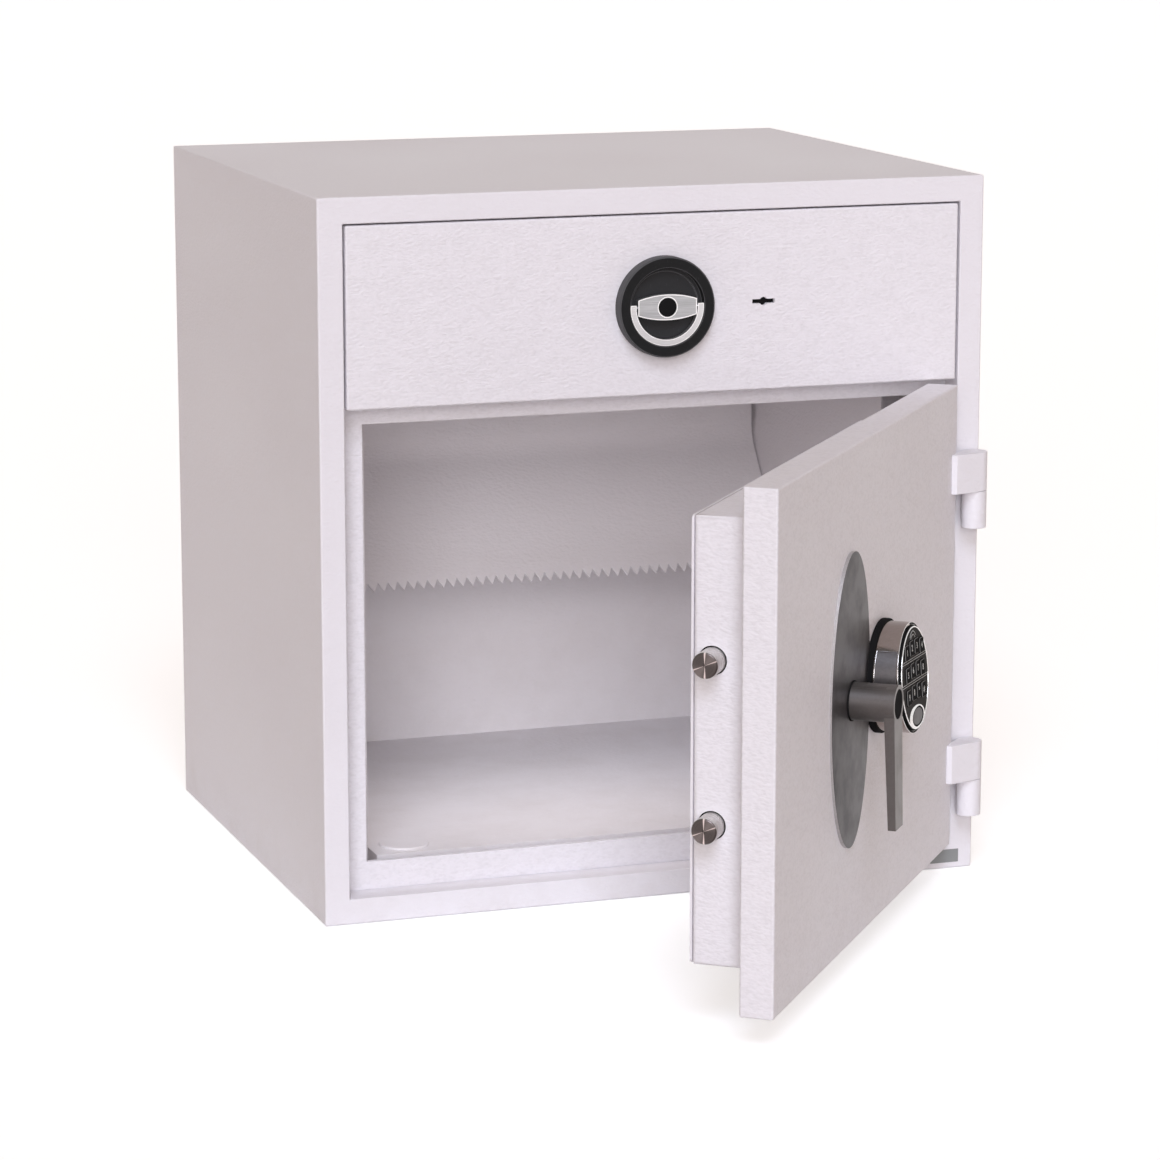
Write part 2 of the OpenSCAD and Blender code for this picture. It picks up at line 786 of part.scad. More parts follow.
module baffle_strip() {
    color(coat) in_row() box([in_x0 + strip_end_gap, baffle_y - baffle_t - strip_t, strip_z],
        [in_x1 - strip_end_gap, baffle_y - baffle_t, strip_z + strip_h]);
}

module hinge_knuckles() {
    color(coat) in_row() for (z = [low_joint, high_joint]) {
        difference() {
            union() {
                z_rod(hinge_x, hinge_y, z - knuckle_h, z, knuckle_r);
                box([hinge_x - knuckle_r / 2, hinge_y, z - knuckle_h],
                    [hinge_x + knuckle_r / 2, 0, z]);
            }
            z_rod(hinge_x, hinge_y, z - knuckle_h + 4, z + cut, hinge_pin_r + run_gap);
        }
    }
}

module hinge_pins() {
    color(zinc) in_row() for (z = [low_joint, high_joint]) {
        z_rod(hinge_x, hinge_y, z - knuckle_h + 4, z + block_h - 5, hinge_pin_r);
    }
}

// The drawer slides, written for the left side
module c_channel(x0, x1, half_h, length, open_to) {
    back = open_to > 0 ? [x0, x0 + slide_t] : [x1 - slide_t, x1];
    box([back[0], slide_y0, slide_z - half_h], [back[1], slide_y0 + length, slide_z + half_h]);
    for (s = [-1, 1]) {
        z = slide_z + s * (half_h - slide_t / 2);
        box([x0, slide_y0, z - slide_t / 2], [x1, slide_y0 + length, z + slide_t / 2]);
    }
}

module slide_outer_members() {
    color(zinc) in_row() both_sides()
        c_channel(in_x0, in_x0 + slide_w - 1, slide_h / 2, slide_l, 1);
}

module slide_middle_members() {
    color(zinc) in_row() both_sides()
        c_channel(in_x0 + slide_t + slide_gap, in_x0 + slide_w - 1,
            slide_h / 2 - slide_t - slide_gap, slide_l, 1);
}

module slide_inner_members() {
    color(zinc) in_row() both_sides()
        c_channel(in_x0 + 2 * (slide_t + slide_gap), in_x0 + slide_w,
            slide_h / 2 - 2 * (slide_t + slide_gap), tray_l - cut, -1);
}

// The drawer
module keyhole_cut(y0, y1) {
    box([key_x - keyhole_l / 2, y0, cup_z - keyhole_h / 2],
        [key_x + keyhole_l / 2, y1, cup_z + keyhole_h / 2]);
    y_rod(key_x, cup_z, y0, y1, keyhole_r);
}

module drawer_front() {
    color(coat) in_row() difference() {
        soft_box([drawer_x0, 0, drawer_z0], [drawer_x1, door_t, drawer_z1], panel_r);
        box([drawer_x0 + drawer_side_t, drawer_skin_t, drawer_z0 + drawer_side_t],
            [drawer_x1 - drawer_side_t, door_t + cut, drawer_z1 - drawer_side_t]);
        box([drawer_x0 - cut, pan_front, drawer_z0 - cut],
            [drawer_x1 + cut, door_t + cut, drawer_z1 + cut]);
        y_rod(cup_x, cup_z, -cut, drawer_skin_t + cut, cup_body_r + run_gap);
        keyhole_cut(-cut, drawer_skin_t + cut);
    }
}

module drawer_inner_pan() {
    color(coat) in_row() difference() {
        union() {
            box([drawer_x0 + 1, pan_front, drawer_z0 + 1],
                [drawer_x1 - 1, pan_front + tray_t, drawer_z1 - 1]);
            box([pan_x0, pan_front, pan_z0], [pan_x1, pan_back, pan_z1]);
        }
        box([pan_x0 + tray_t, 0, pan_z0 + tray_t],
            [pan_x1 - tray_t, pan_back - tray_t, pan_z1 - tray_t]);
        y_rod(cup_x, cup_z, 0, pan_back + cut, latch_spindle_r + run_gap);
        keyhole_cut(0, pan_back + cut);
    }
}

module deposit_tray() {
    color(coat) in_row() difference() {
        box([tray_x0, pan_back, tray_z0], [tray_x1, tray_y1, tray_z1]);
        box([tray_x0 + tray_t, pan_back - cut, tray_z0 + tray_t],
            [tray_x1 - tray_t, tray_y1 + cut, tray_z1 + cut]);
    }
}

module handle_cup() {
    color(black) in_row() difference() {
        union() {
            translate([cup_x, 0, cup_z]) rotate([90, 0, 0])
                rotate_extrude() polygon([[0, 0], [cup_r, 0], [cup_r, cup_rise - cup_chamfer],
                    [cup_front_r, cup_rise], [0, cup_rise]]);
            y_rod(cup_x, cup_z, 0, cup_back, cup_body_r);
        }
        y_rod(cup_x, cup_z, -cup_rise - cut, cup_floor, cup_hole_r);
        y_rod(cup_x, cup_z, cup_floor - cut, cup_floor + dish_d, dish_r);
        y_rod(cup_x, cup_z, cup_floor, cup_back + cut, latch_spindle_r + run_gap);
    }
}

module drawer_lock_case() {
    slot = key_bolt_t / 2 + lock_gap;
    color(zinc) in_row() difference() {
        box([key_x - case_w / 2, pan_back, case_z0], [key_x + case_w / 2, case_y1, case_z1]);
        box([key_x - key_bolt_w / 2 - lock_gap, key_bolt_y - slot, key_bolt_z0 - lock_gap],
            [key_x + key_bolt_w / 2 + lock_gap, key_bolt_y + slot, case_z1 + cut]);
        keyhole_cut(pan_back - cut, key_bolt_y);
    }
}

module drawer_lock_bolt() {
    color(silver) in_row() difference() {
        box([key_x - key_bolt_w / 2, key_bolt_y - key_bolt_t / 2, key_bolt_z0],
            [key_x + key_bolt_w / 2, key_bolt_y + key_bolt_t / 2, key_bolt_z1]);
        y_rod(key_x, cup_z - 3, pan_back, key_bolt_y + key_bolt_t, keyhole_r);
    }
}

module drawer_keeper() {
    color(zinc) in_row() box([mid_x - keeper_l / 2 + 40, frame_back, bay_z1 + 1],
        [mid_x + keeper_l / 2 + 40, keeper_back, bay_z1 + 1 + keeper_h]);
}

// The drawer latch: the eye bar, its lock cylinder and spindle, the cam and the bail
module latch_eye_bar() {
    color(silver) in_row() difference() {
        intersection() {
            box([cup_x - eye_l / 2, eye_y0, cup_z - eye_h / 2],
                [cup_x + eye_l / 2, eye_y1, cup_z + eye_h / 2]);
            y_rod(cup_x, cup_z + eye_h / 2 - eye_arc, eye_y0, eye_y1, eye_arc, $fn = 180);
            y_rod(cup_x, cup_z - eye_h / 2 + eye_arc, eye_y0, eye_y1, eye_arc, $fn = 180);
        }
        y_rod(cup_x, cup_z, eye_y0 - cut, eye_y1 + cut, barrel_r);
        x_rod(bail_y, cup_z, cup_x - eye_l, cup_x + eye_l, bail_pin_r + run_gap);
    }
}

module latch_spindle() {
    color(black) in_row() {
        y_rod(cup_x, cup_z, eye_y0 + 0.4, eye_y1, barrel_r);
        y_rod(cup_x, cup_z, eye_y0 + 0.4, cam_y1, latch_spindle_r);
    }
}

module latch_cam() {
    color(zinc) in_row() difference() {
        union() {
            box([cup_x - cam_reach, cam_y0, cup_z - cam_w / 2], [cup_x, cam_y1, cup_z + cam_w / 2]);
            y_rod(cup_x, cup_z, cam_y0, cam_y1, latch_spindle_r + 5);
        }
        y_rod(cup_x, cup_z, cam_y0 - cut, cam_y1 + cut, latch_spindle_r);
    }
}

module bail_handle() {
    y0 = bail_y - bail_t / 2;
    y1 = bail_y + bail_t / 2;
    color(silver) in_row() {
        difference() {
            y_rod(cup_x, cup_z, y0, y1, bail_r);
            y_rod(cup_x, cup_z, y0 - cut, y1 + cut, bail_r - bail_w);
            box([cup_x - bail_r - cut, y0 - cut, cup_z + bail_rise],
                [cup_x + bail_r + cut, y1 + cut, cup_z + bail_r + cut]);
        }
        for (s = [-1, 1]) {
            x_rod(bail_y, cup_z, cup_x + s * (bail_r - bail_w / 2) - (s > 0 ? 6 : 0),
                cup_x + s * (bail_r - bail_w / 2) + (s > 0 ? 0 : 6), bail_pin_r);
        }
    }
}

// The sweep flap
module flap_brackets() {
    color(zinc) in_row() both_sides() difference() {
        box([in_x0, flap_y - flap_tube_r - 2, flap_z - flap_tube_r - 1],
            [in_x0 + bracket_w, flap_y + flap_tube_r + 2, in_z1]);
        x_rod(flap_y, flap_z, in_x0 - cut, in_x0 + bracket_w + cut, rod_r);
    }
}

module flap_rod() {
    color(silver) in_row() x_rod(flap_y, flap_z, in_x0 + 0.5, in_x1 - 0.5, rod_r);
}

module sweep_flap() {
    x0 = tray_x0 + tray_t + flap_gap;
    x1 = tray_x1 - tray_t - flap_gap;
    color(coat) in_row() difference() {
        union() {
            x_rod(flap_y, flap_z, x0, x1, flap_tube_r);
            box([x0, flap_y + flap_tube_r - flap_t, tray_z0 + tray_t + flap_gap],
                [x1, flap_y + flap_tube_r, flap_z]);
        }
        x_rod(flap_y, flap_z, x0 - cut, x1 + cut, rod_r + run_gap);
    }
}

// The door
// The plug's outline, drawn in by t
module plug_room(t) {
    soft_box([plug_x0 + t, door_skin_t, plug_z0 + t], [plug_x1 - t, plug_back - t, plug_z1 - t],
        plug_r - t);
}

module door_plate() {
    color(coat) on_door() difference() {
        soft_box([door_x0, 0, door_z0], [door_x1, door_t, door_z1], panel_r);
        box([door_x0 + door_lip_t, door_skin_t, door_z0 + door_lip_t],
            [door_x1 - door_lip_t, door_t - door_lip_t, door_z1 - door_lip_t]);
        plug_room(0);
        y_rod(spindle_x, spindle_z, -cut, door_skin_t + cut, spindle_r + run_gap);
    }
}

module door_fill() {
    color(filler) on_door() difference() {
        box([door_x0 + door_lip_t, door_skin_t, door_z0 + door_lip_t],
            [door_x1 - door_lip_t, fill_y1, door_z1 - door_lip_t]);
        y_rod(spindle_x, spindle_z, 0, fill_y1 + cut, spindle_r + 3);
    }
}

module at_cover_screws() {
    inset = plug_t + cover_rim / 2;
    for (x = [plug_x0 + inset, (plug_x0 + plug_x1) / 2, plug_x1 - inset],
         z = [plug_z0 + inset, plug_z1 - inset]) {
        translate([x, 0, z]) children();
    }
}

module door_plug_pan() {
    rim = plug_t + cover_rim;
    color(coat) on_door() difference() {
        plug_room(0);
        plug_room(plug_t);
        box([plug_x0 - cut, 0, plug_z0 - cut], [plug_x1 + cut, fill_y1, plug_z1 + cut]);
        box([plug_x0 + rim, plug_back - plug_r, plug_z0 + rim],
            [plug_x1 - rim, plug_back + cut, plug_z1 - rim]);
        for (z = bolt_zs) {
            x_rod(bolt_y, z, plug_x0 - cut, plug_x0 + plug_r, bolt_r + bolt_hole_gap);
            x_rod(bolt_y, z, plug_x1 - plug_r, plug_x1 + cut, bolt_r);
        }
        at_cover_screws() y_rod(0, 0, plug_back - plug_r, plug_back + cut, screw_r / 2);
    }
}

module door_back_cover() {
    edge = cover_inset;
    color(coat) on_door() difference() {
        y_block([plug_x0 + edge, plug_back, plug_z0 + edge],
            [plug_x1 - edge, cover_y1, plug_z1 - edge], plug_r);
        at_cover_screws() y_rod(0, 0, plug_back - cut, cover_y1 + cut, screw_r / 2);
    }
}

module cover_screws() {
    color(zinc) on_door() at_cover_screws() {
        y_rod(0, 0, plug_back - plug_t - 3, cover_y1, screw_r / 2);
        y_rod(0, 0, cover_y1, cover_y1 + 1.6, screw_r);
    }
}

module hinge_blocks() {
    color(coat) on_door() for (z = [low_joint, high_joint]) {
        difference() {
            translate([hinge_x, hinge_y, z + knuckle_gap])
                linear_extrude(block_h - knuckle_gap) union() {
                    circle(knuckle_r);
                    polygon([[step_x, axis_y], [door_x1 - hinge_x, axis_y],
                        [door_x1 - hinge_x + 1.5, axis_y - 0.8], [0, knuckle_r], [0, 0],
                        [step_x + tangent_l * cos(tangent_a), step_y + tangent_l * sin(tangent_a)],
                        [step_x, step_y]]);
                }
            z_rod(hinge_x, hinge_y, z - cut, z + block_h - 4.5, hinge_pin_r + run_gap);
        }
    }
}

module hinge_side_dogs() {
    color(silver) on_door() for (z = bolt_zs) {
        x_rod(bolt_y, z, plug_x1 - 14, plug_x1 + dog_out, bolt_r);
    }
}

module bolt_bushes() {
    color(zinc) on_door() for (z = bolt_zs) difference() {
        x_rod(bolt_y, z, plug_x0 + plug_t, plug_x0 + plug_t + bush_l, bolt_r + bush_t);
        x_rod(bolt_y, z, plug_x0, plug_x0 + plug_t + bush_l + cut, bolt_r + bush_gap);
    }
}

// The bolt work
module bolt_bar() {
    slot = drive_r + drive_gap;
    color(zinc) on_door() difference() {
        union() {
            box([bar_x0, bolt_y - bar_t / 2, bolt_zs[0] - bolt_r - 4],
                [bar_x1, bolt_y + bar_t / 2, bolt_zs[1] + bolt_r + 4]);
            box([bar_x1, arm_y0, spindle_z - arm_h / 2 + 6],
                [arm_x1, arm_y1, spindle_z + arm_h / 2 + 6]);
        }
        box([spindle_x - drive_side - slot, arm_y0 - cut, spindle_z + drive_side - slot],
            [spindle_x - drive_side + slot, arm_y1 + cut, spindle_z + drive_reach + slot]);
    }
}

module locking_bolts() {
    color(silver) on_door() for (z = bolt_zs) {
        x_rod(bolt_y, z, bolt_tip, bar_x0, bolt_r);
    }
}

module lock_case() {
    slot = lock_bolt_t / 2 + lock_gap;
    color(zinc) on_door() difference() {
        box([lock_x0, fill_y1, spindle_z - lock_h / 2],
            [lock_x0 + lock_w, lock_y1, spindle_z + lock_h / 2]);
        box([lock_x0 - cut, bolt_y - slot, spindle_z + 6 - lock_bolt_h / 2 - lock_gap],
            [lock_bolt_x1 + lock_gap, bolt_y + slot, spindle_z + 6 + lock_bolt_h / 2 + lock_gap]);
    }
}

module lock_bolt() {
    color(silver) on_door() box(
        [lock_bolt_x0, bolt_y - lock_bolt_t / 2, spindle_z + 6 - lock_bolt_h / 2],
        [lock_bolt_x1, bolt_y + lock_bolt_t / 2, spindle_z + 6 + lock_bolt_h / 2]);
}

// The escutcheon and the handle
module oval_escutcheon() {
    color(dark_metal) on_door() difference() {
        intersection() {
            translate([spindle_x, 0, spindle_z]) rotate([90, 0, 0])
                linear_extrude(oval_t + cut) polygon(oval_points);
            z_rod(spindle_x, oval_y + oval_arc, spindle_z - oval_h, spindle_z + oval_h, oval_arc,
                $fn = 1800);
        }
        y_rod(spindle_x, spindle_z, oval_y - cut, cut, spindle_r + run_gap);
        y_rod(pad_x, pad_z, oval_y - cut, cut, base_r + 0.2);
    }
}

module handle_hub() {
    color(pewter) on_door() difference() {
        y_rod(spindle_x, spindle_z, hub_y0, hub_y1, hub_r);
        y_rod(spindle_x, spindle_z, hub_y0 + 4, hub_y1 + cut, spindle_r);
    }
}

module handle_lever() {
    tip = spindle_z - lever_l;
    tip_y0 = lever_y0 - lever_lean;
    color(pewter) on_door() difference() {
        intersection() {
            union() {
                y_rod(spindle_x, spindle_z, lever_y0, hub_y0, hub_r);
                translate([spindle_x, hub_y0, spindle_z]) rotate([90, 0, 0])
                    linear_extrude(hub_y0 - tip_y0) polygon([
                        [-lever_root_w / 2, 0], [-lever_tip_w / 2, -lever_l],
                        [lever_tip_w / 2, -lever_l], [lever_root_w / 2, 0]]);
            }
            translate([spindle_x - hub_r - cut, 0, 0]) rotate([90, 0, 90])
                linear_extrude(2 * (hub_r + cut)) polygon([
                    [lever_y0, spindle_z + hub_r + cut], [hub_y0, spindle_z + hub_r + cut],
                    [hub_y0, spindle_z - hub_r], [tip_y0 + lever_tip_t, tip],
                    [tip_y0, tip], [lever_y0, spindle_z - hub_r]]);
        }
        y_rod(spindle_x, spindle_z, lever_y0 - cut, lever_y0 + hub_cap_t, hub_cap_r);
    }
}

module hub_cap() {
    color(black) on_door() y_rod(spindle_x, spindle_z, lever_y0 + 0.4, lever_y0 + hub_cap_t, hub_cap_r);
}

module handle_spindle() {
    color(zinc) on_door() {
        y_rod(spindle_x, spindle_z, hub_y0 + 4, crank_y1, spindle_r);
        y_rod(spindle_x, spindle_z, crank_y0, crank_y1, crank_r);
        y_rod(spindle_x - drive_side, spindle_z + drive_side, crank_y0, arm_y1, drive_r);
    }
}

// The keypad
module keypad_base() {
    color(black) on_door() y_rod(pad_x, pad_z, -base_t, 0, base_r);
}

// Frame of the keypad's sloping front: y runs into the body from the middle of the front
module on_front() {
    translate([pad_x, body_y0, pad_z]) rotate([-pad_slope, 0, 0]) rotate([0, pad_roll, 0]) children();
}

// All that lies deeper than y behind the sloping front
module behind(y) {
    on_front() box([-2 * body_r, y, -2 * body_r], [2 * body_r, 2 * body_r, 2 * body_r]);
}

// The battery cover's block, grown by t
module battery_room(t) {
    intersection() {
        box([pad_x - body_r - cut, pad_y0, pad_z - battery_h / 2 - t],
            [pad_x - body_r / 2, -base_t - 1.5 + t, pad_z + battery_h / 2 + t]);
        behind(battery_inset - t);
    }
}

module keypad_body() {
    color(chrome) on_door() difference() {
        intersection() {
            y_rod(pad_x, pad_z, pad_y0, -base_t, body_r);
            behind(0);
        }
        y_rod(pad_x, pad_z, pad_y0 - cut, body_floor, body_r - body_rim);
        difference() {
            battery_room(0.1);
            y_rod(pad_x, pad_z, pad_y0, 0, body_r - battery_t);
        }
    }
}

module battery_cover() {
    color(dark_metal) on_door() intersection() {
        battery_room(0);
        difference() {
            y_rod(pad_x, pad_z, pad_y0, 0, body_r + 0.2);
            y_rod(pad_x, pad_z, pad_y0 - cut, cut, body_r - battery_t);
        }
    }
}

// Centre of the key in row r and column c, from the middle of the front
function key_at(r, c) = [(c - 1.5) * key_pitch,
    row_rise + (1 - r) * row_pitch - row_arc * (abs(c - 1.5) - 0.5)];

module key_block(n, y0, y1, grow) {
    at = key_at(floor(n / 4), n % 4);
    w = key_w / 2 + grow;
    h = key_h / 2 + grow;
    on_front() y_block([at.x - w, y0, at.y - h], [at.x + w, y1, at.y + h], key_r + grow);
}

module keypad_face() {
    color(black) on_door() difference() {
        intersection() {
            y_rod(pad_x, pad_z, pad_y0, body_floor, face_r);
            behind(face_y0);
        }
        intersection() {
            y_rod(pad_x, pad_z, pad_y0, body_floor + cut, face_r - 3);
            behind(face_y1);
        }
        for (n = [0:11]) {
            key_block(n, face_y0 - cut, face_y1 + cut, key_gap);
        }
    }
}

module key_cap(n) {
    color(black) on_door() key_block(n, key_y0, key_y1, 0);
}

module keypad_badge() {
    color(chrome) on_door() on_front() translate([0, face_y0, -badge_drop]) rotate([90, 0, 0])
        linear_extrude(badge_t) scale([1, badge_h / badge_l]) circle(badge_l / 2, $fn = 48);
}

outer_shell();
front_frame();
inner_liner();
barrier_fill();
anchor_sleeves();
anti_fish_baffle();
baffle_strip();
hinge_knuckles();
hinge_pins();
slide_outer_members();
drawer_keeper();
flap_brackets();
flap_rod();
sweep_flap();
slide_middle_members();
slide_inner_members();
drawer_front();
drawer_inner_pan();
deposit_tray();
handle_cup();
drawer_lock_case();
drawer_lock_bolt();
latch_eye_bar();
latch_spindle();
latch_cam();
bail_handle();
door_plate();
door_fill();
door_plug_pan();
door_back_cover();
cover_screws();
hinge_blocks();
hinge_side_dogs();
bolt_bushes();
oval_escutcheon();
handle_hub();
hub_cap();
handle_lever();
handle_spindle();
bolt_bar();
locking_bolts();
lock_case();
lock_bolt();
keypad_base();
keypad_body();
keypad_face();
keypad_badge();
battery_cover();
key_cap(0);  // key_1
key_cap(1);  // key_2
key_cap(2);  // key_3
key_cap(3);  // key_4
key_cap(4);  // key_5
key_cap(5);  // key_6
key_cap(6);  // key_7
key_cap(7);  // key_8
key_cap(8);  // key_9
key_cap(9);  // key_0
key_cap(10);  // key_star
key_cap(11);  // key_hash
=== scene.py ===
"""The looks of a drop safe with a deposit drawer, modelled round its CAD frame."""

import json
import math

import bmesh
import bpy
from bpy.props import (
    FloatProperty,
    FloatVectorProperty,
    IntProperty,
    PointerProperty,
)
from mathutils import Matrix, Vector

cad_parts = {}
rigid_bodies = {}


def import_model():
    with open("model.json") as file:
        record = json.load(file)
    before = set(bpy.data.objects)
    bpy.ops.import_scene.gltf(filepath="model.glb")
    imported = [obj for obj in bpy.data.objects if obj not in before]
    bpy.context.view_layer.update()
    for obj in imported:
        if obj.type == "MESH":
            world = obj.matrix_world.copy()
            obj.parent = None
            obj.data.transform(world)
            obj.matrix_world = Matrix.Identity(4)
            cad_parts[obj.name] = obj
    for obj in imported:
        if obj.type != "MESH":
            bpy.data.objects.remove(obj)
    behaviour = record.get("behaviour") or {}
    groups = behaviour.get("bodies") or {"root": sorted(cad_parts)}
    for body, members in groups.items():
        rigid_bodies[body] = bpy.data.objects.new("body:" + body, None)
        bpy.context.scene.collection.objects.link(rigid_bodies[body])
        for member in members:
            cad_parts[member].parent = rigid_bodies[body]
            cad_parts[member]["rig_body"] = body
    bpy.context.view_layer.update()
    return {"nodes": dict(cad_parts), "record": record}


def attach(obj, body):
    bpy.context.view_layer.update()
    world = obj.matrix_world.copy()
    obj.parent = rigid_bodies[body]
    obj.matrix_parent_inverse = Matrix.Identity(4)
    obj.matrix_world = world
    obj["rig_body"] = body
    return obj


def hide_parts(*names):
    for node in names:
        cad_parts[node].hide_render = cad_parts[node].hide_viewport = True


bl_info = {
    "name": "Drop safe with deposit drawer",
    "version": (1, 0, 0),
    "blender": (4, 5, 0),
    "location": "3D View > Sidebar > Drop Safe",
    "description": "Models the finished surfaces of a drop safe round its CAD frame",
    "category": "Object",
}

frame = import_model()
SLOTS = {s["node"]: s["material_slot"] for s in frame["record"]["subparts"]}

# Sizes are in millimetres in the cabinet's own frame: x from the left side, y from the front
# face and z from the base. The door's pieces are made on the closed door and then turned.
MM = 0.001
CABINET_W, CABINET_D = 600, 500
HINGE_X, HINGE_Y = 590, -12.8
DOOR_OPEN = math.radians(51.7)
IN_CABINET = Matrix.Scale(MM, 4) @ Matrix.Translation((-CABINET_W / 2, -CABINET_D / 2, 0))
ON_DOOR = (
    IN_CABINET
    @ Matrix.Translation((HINGE_X, HINGE_Y, 0))
    @ Matrix.Rotation(DOOR_OPEN, 4, "Z")
    @ Matrix.Translation((-HINGE_X, -HINGE_Y, 0))
)

# The drawer's fittings. The cup's recess lies behind CUP_FLOOR_Y and inside CUP_WALL_R.
CUP_X, CUP_Z = 303.2, 518.4
CUP_FLOOR_Y, CUP_WALL_R = -10, 38
EYE_BAR_BACK = -0.255  # in metres, in the shared frame
KEYHOLE_X, SKIN_T = 395, 4
KEYHOLE_HALF_W, KEYHOLE_HALF_H = 11, 4.5

# The cabinet's front edges and its fittings
SHELL_FRONT_Y = -0.2  # in metres, in the shared frame
ANCHOR_XS, ANCHOR_YS = (93, 507), (78, 398)
ANCHOR_TOP = 46.2
LABEL_LOW, LABEL_HIGH = (560, -0.12, 5.5), (587, 0.02, 17.5)

# The door's fittings
SPINDLE_X, SPINDLE_Z = 231.5, 232.9
PLUG_X0, PLUG_X1 = 55, 545
PLUG_Z0, PLUG_Z1 = 55.2, 410.6
COVER_Y = 77.5
SCREW_INSET, SCREW_LENGTH = 11, 6.8
BOLT_Y, BOLT_R = 60, 10.5
BOLT_ZS = (167.9, 297.9)
BOLT_TIP = 35
DOG_IN, DOG_OUT = 14, 12
DOOR_FRONT = (ON_DOOR.to_3x3() @ Vector((0, -1, 0))).normalized()

# The keypad's front slopes and its rows are turned a little. In its own frame x runs to the
# right, z up and y into the body, from the middle of the body's front.
PAD_X, PAD_FRONT_Y, PAD_Z = 325, -28, 233.9
PAD_SLOPE, PAD_TURN = math.radians(4.7), math.radians(2.5)
ON_FRONT = (
    ON_DOOR
    @ Matrix.Translation((PAD_X, PAD_FRONT_Y, PAD_Z))
    @ Matrix.Rotation(-PAD_SLOPE, 4, "X")
    @ Matrix.Rotation(PAD_TURN, 4, "Y")
)
FRONT_OUT = (ON_FRONT.to_3x3() @ Vector((0, -1, 0))).normalized()
FACE_Y, FACE_R = -2.0, 42.9
KEY_Y = -3.2
KEYS_IN_ROW = 4
KEY_PITCH, ROW_PITCH, ROW_RISE, ROW_ARC = 15.5, 18.4, 7.0, 1.8
LINE_VS, LINE_INSET = (15.8, -2.75), 2.4
WINDOW_V, WINDOW_RS, WINDOW_ARC = 27.2, (8.6, 11.4), math.radians(104)
BADGE_V, BADGE_FLAT = -32.0, 0.44
BADGE_PLATE_R, BADGE_RING_R, BADGE_DEEP_Y = 15.5, 17.9, -2.2

# The light. The floor glows towards the camera only, so that it looks white and keeps shadows.
KEY_AIM, KEY_COLOUR = (0.165, 0.474, -0.12), (0.99, 0.98, 1.03)
HIGH_AIM, HIGH_COLOUR = (0.165, 0.474, -0.5), (0.90, 0.98, 1.15)
INSIDE_AT, INSIDE_COLOUR = (260, 120, 440), (1.0, 0.93, 0.90)
INSIDE_W, INSIDE_D, INSIDE_SPREAD = 0.36, 0.12, math.radians(75)
AMBIENT_COLOUR = (1.0, 0.62, 0.32, 1)
FLOOR_COLOUR, FLOOR_GLOW = (0.85, 0.86, 0.87, 1), 0.54
WHITE = (1, 1, 1, 1)

# The grain of a metal: how fine it is along and across, its turn and its depth in metres
ROLLED = (9.0, 500.0, 0.0, 3e-5)
GROUND = (9.0, 1500.0, DOOR_OPEN, 2e-5)  # turned with the open door
BRUSHED = (30.0, 1700.0, 0.0, 1e-5)
POLISHED = (60.0, 900.0, 0.0, 2e-6)
SATIN = (700.0, 700.0, 0.0, 2e-5)
CAST = (420.0, 420.0, 0.0, 3e-5)
BLASTED = (420.0, 420.0, 0.0, 2e-5)

# The grain of a plastic or a paint: how fine it is and its depth in metres
POURED = (300.0, 6e-4)
PAINTED = (1100.0, 5e-5)
PEBBLED = (900.0, 1e-4)
MOULDED = (1500.0, 2e-5)
PRINTED = (900.0, 1e-5)

# How meshes are made whole: distances in the mesh's own units
MERGE_CAD, MERGE_NEW = 2e-6, 0.001
FLAT_ANGLE, SMOOTH_ANGLE = math.radians(0.4), math.radians(38)
MOST_FINISHES = 4


# Helpers


def only(*pieces):
    """Selects these pieces and nothing else, the first one active."""
    bpy.ops.object.select_all(action="DESELECT")
    for piece in pieces:
        piece.select_set(True)
    bpy.context.view_layer.objects.active = pieces[0]


def edit(piece, mode="FACE"):
    """Opens a piece in edit mode with nothing selected."""
    only(piece)
    bpy.ops.object.mode_set(mode="EDIT")
    bpy.ops.mesh.select_mode(type=mode)
    bpy.ops.mesh.select_all(action="DESELECT")
    return bmesh.from_edit_mesh(piece.data)


def leave_edit():
    bpy.ops.object.mode_set(mode="OBJECT")


def pick(mesh, kind, test):
    """Selects the faces or edges that pass a test."""
    for item in getattr(mesh, kind):
        item.select_set(bool(test(item)))
    mesh.select_flush_mode()


def named(name):
    """The object that an operator has just made, under its piece's name."""
    piece = bpy.context.active_object
    piece.name = name
    piece.data.name = name
    return piece


def block(name, low, high):
    """A block between two corners."""
    low, high = Vector(low), Vector(high)
    bpy.ops.object.select_all(action="DESELECT")
    bpy.ops.mesh.primitive_cube_add(size=1, location=(low + high) / 2)
    piece = named(name)
    piece.scale = high - low
    bpy.ops.object.transform_apply(location=True, rotation=True, scale=True)
    return piece


def sweep(steps, angle, centre):
    """Spins the open mesh round a line along y, makes it whole and leaves edit mode."""
    bpy.ops.mesh.select_all(action="SELECT")
    bpy.ops.mesh.spin(steps=steps, angle=angle, center=centre, axis=(0, 1, 0))
    bpy.ops.mesh.select_all(action="SELECT")
    bpy.ops.mesh.remove_doubles(threshold=MERGE_NEW)
    bpy.ops.mesh.normals_make_consistent(inside=False)
    leave_edit()


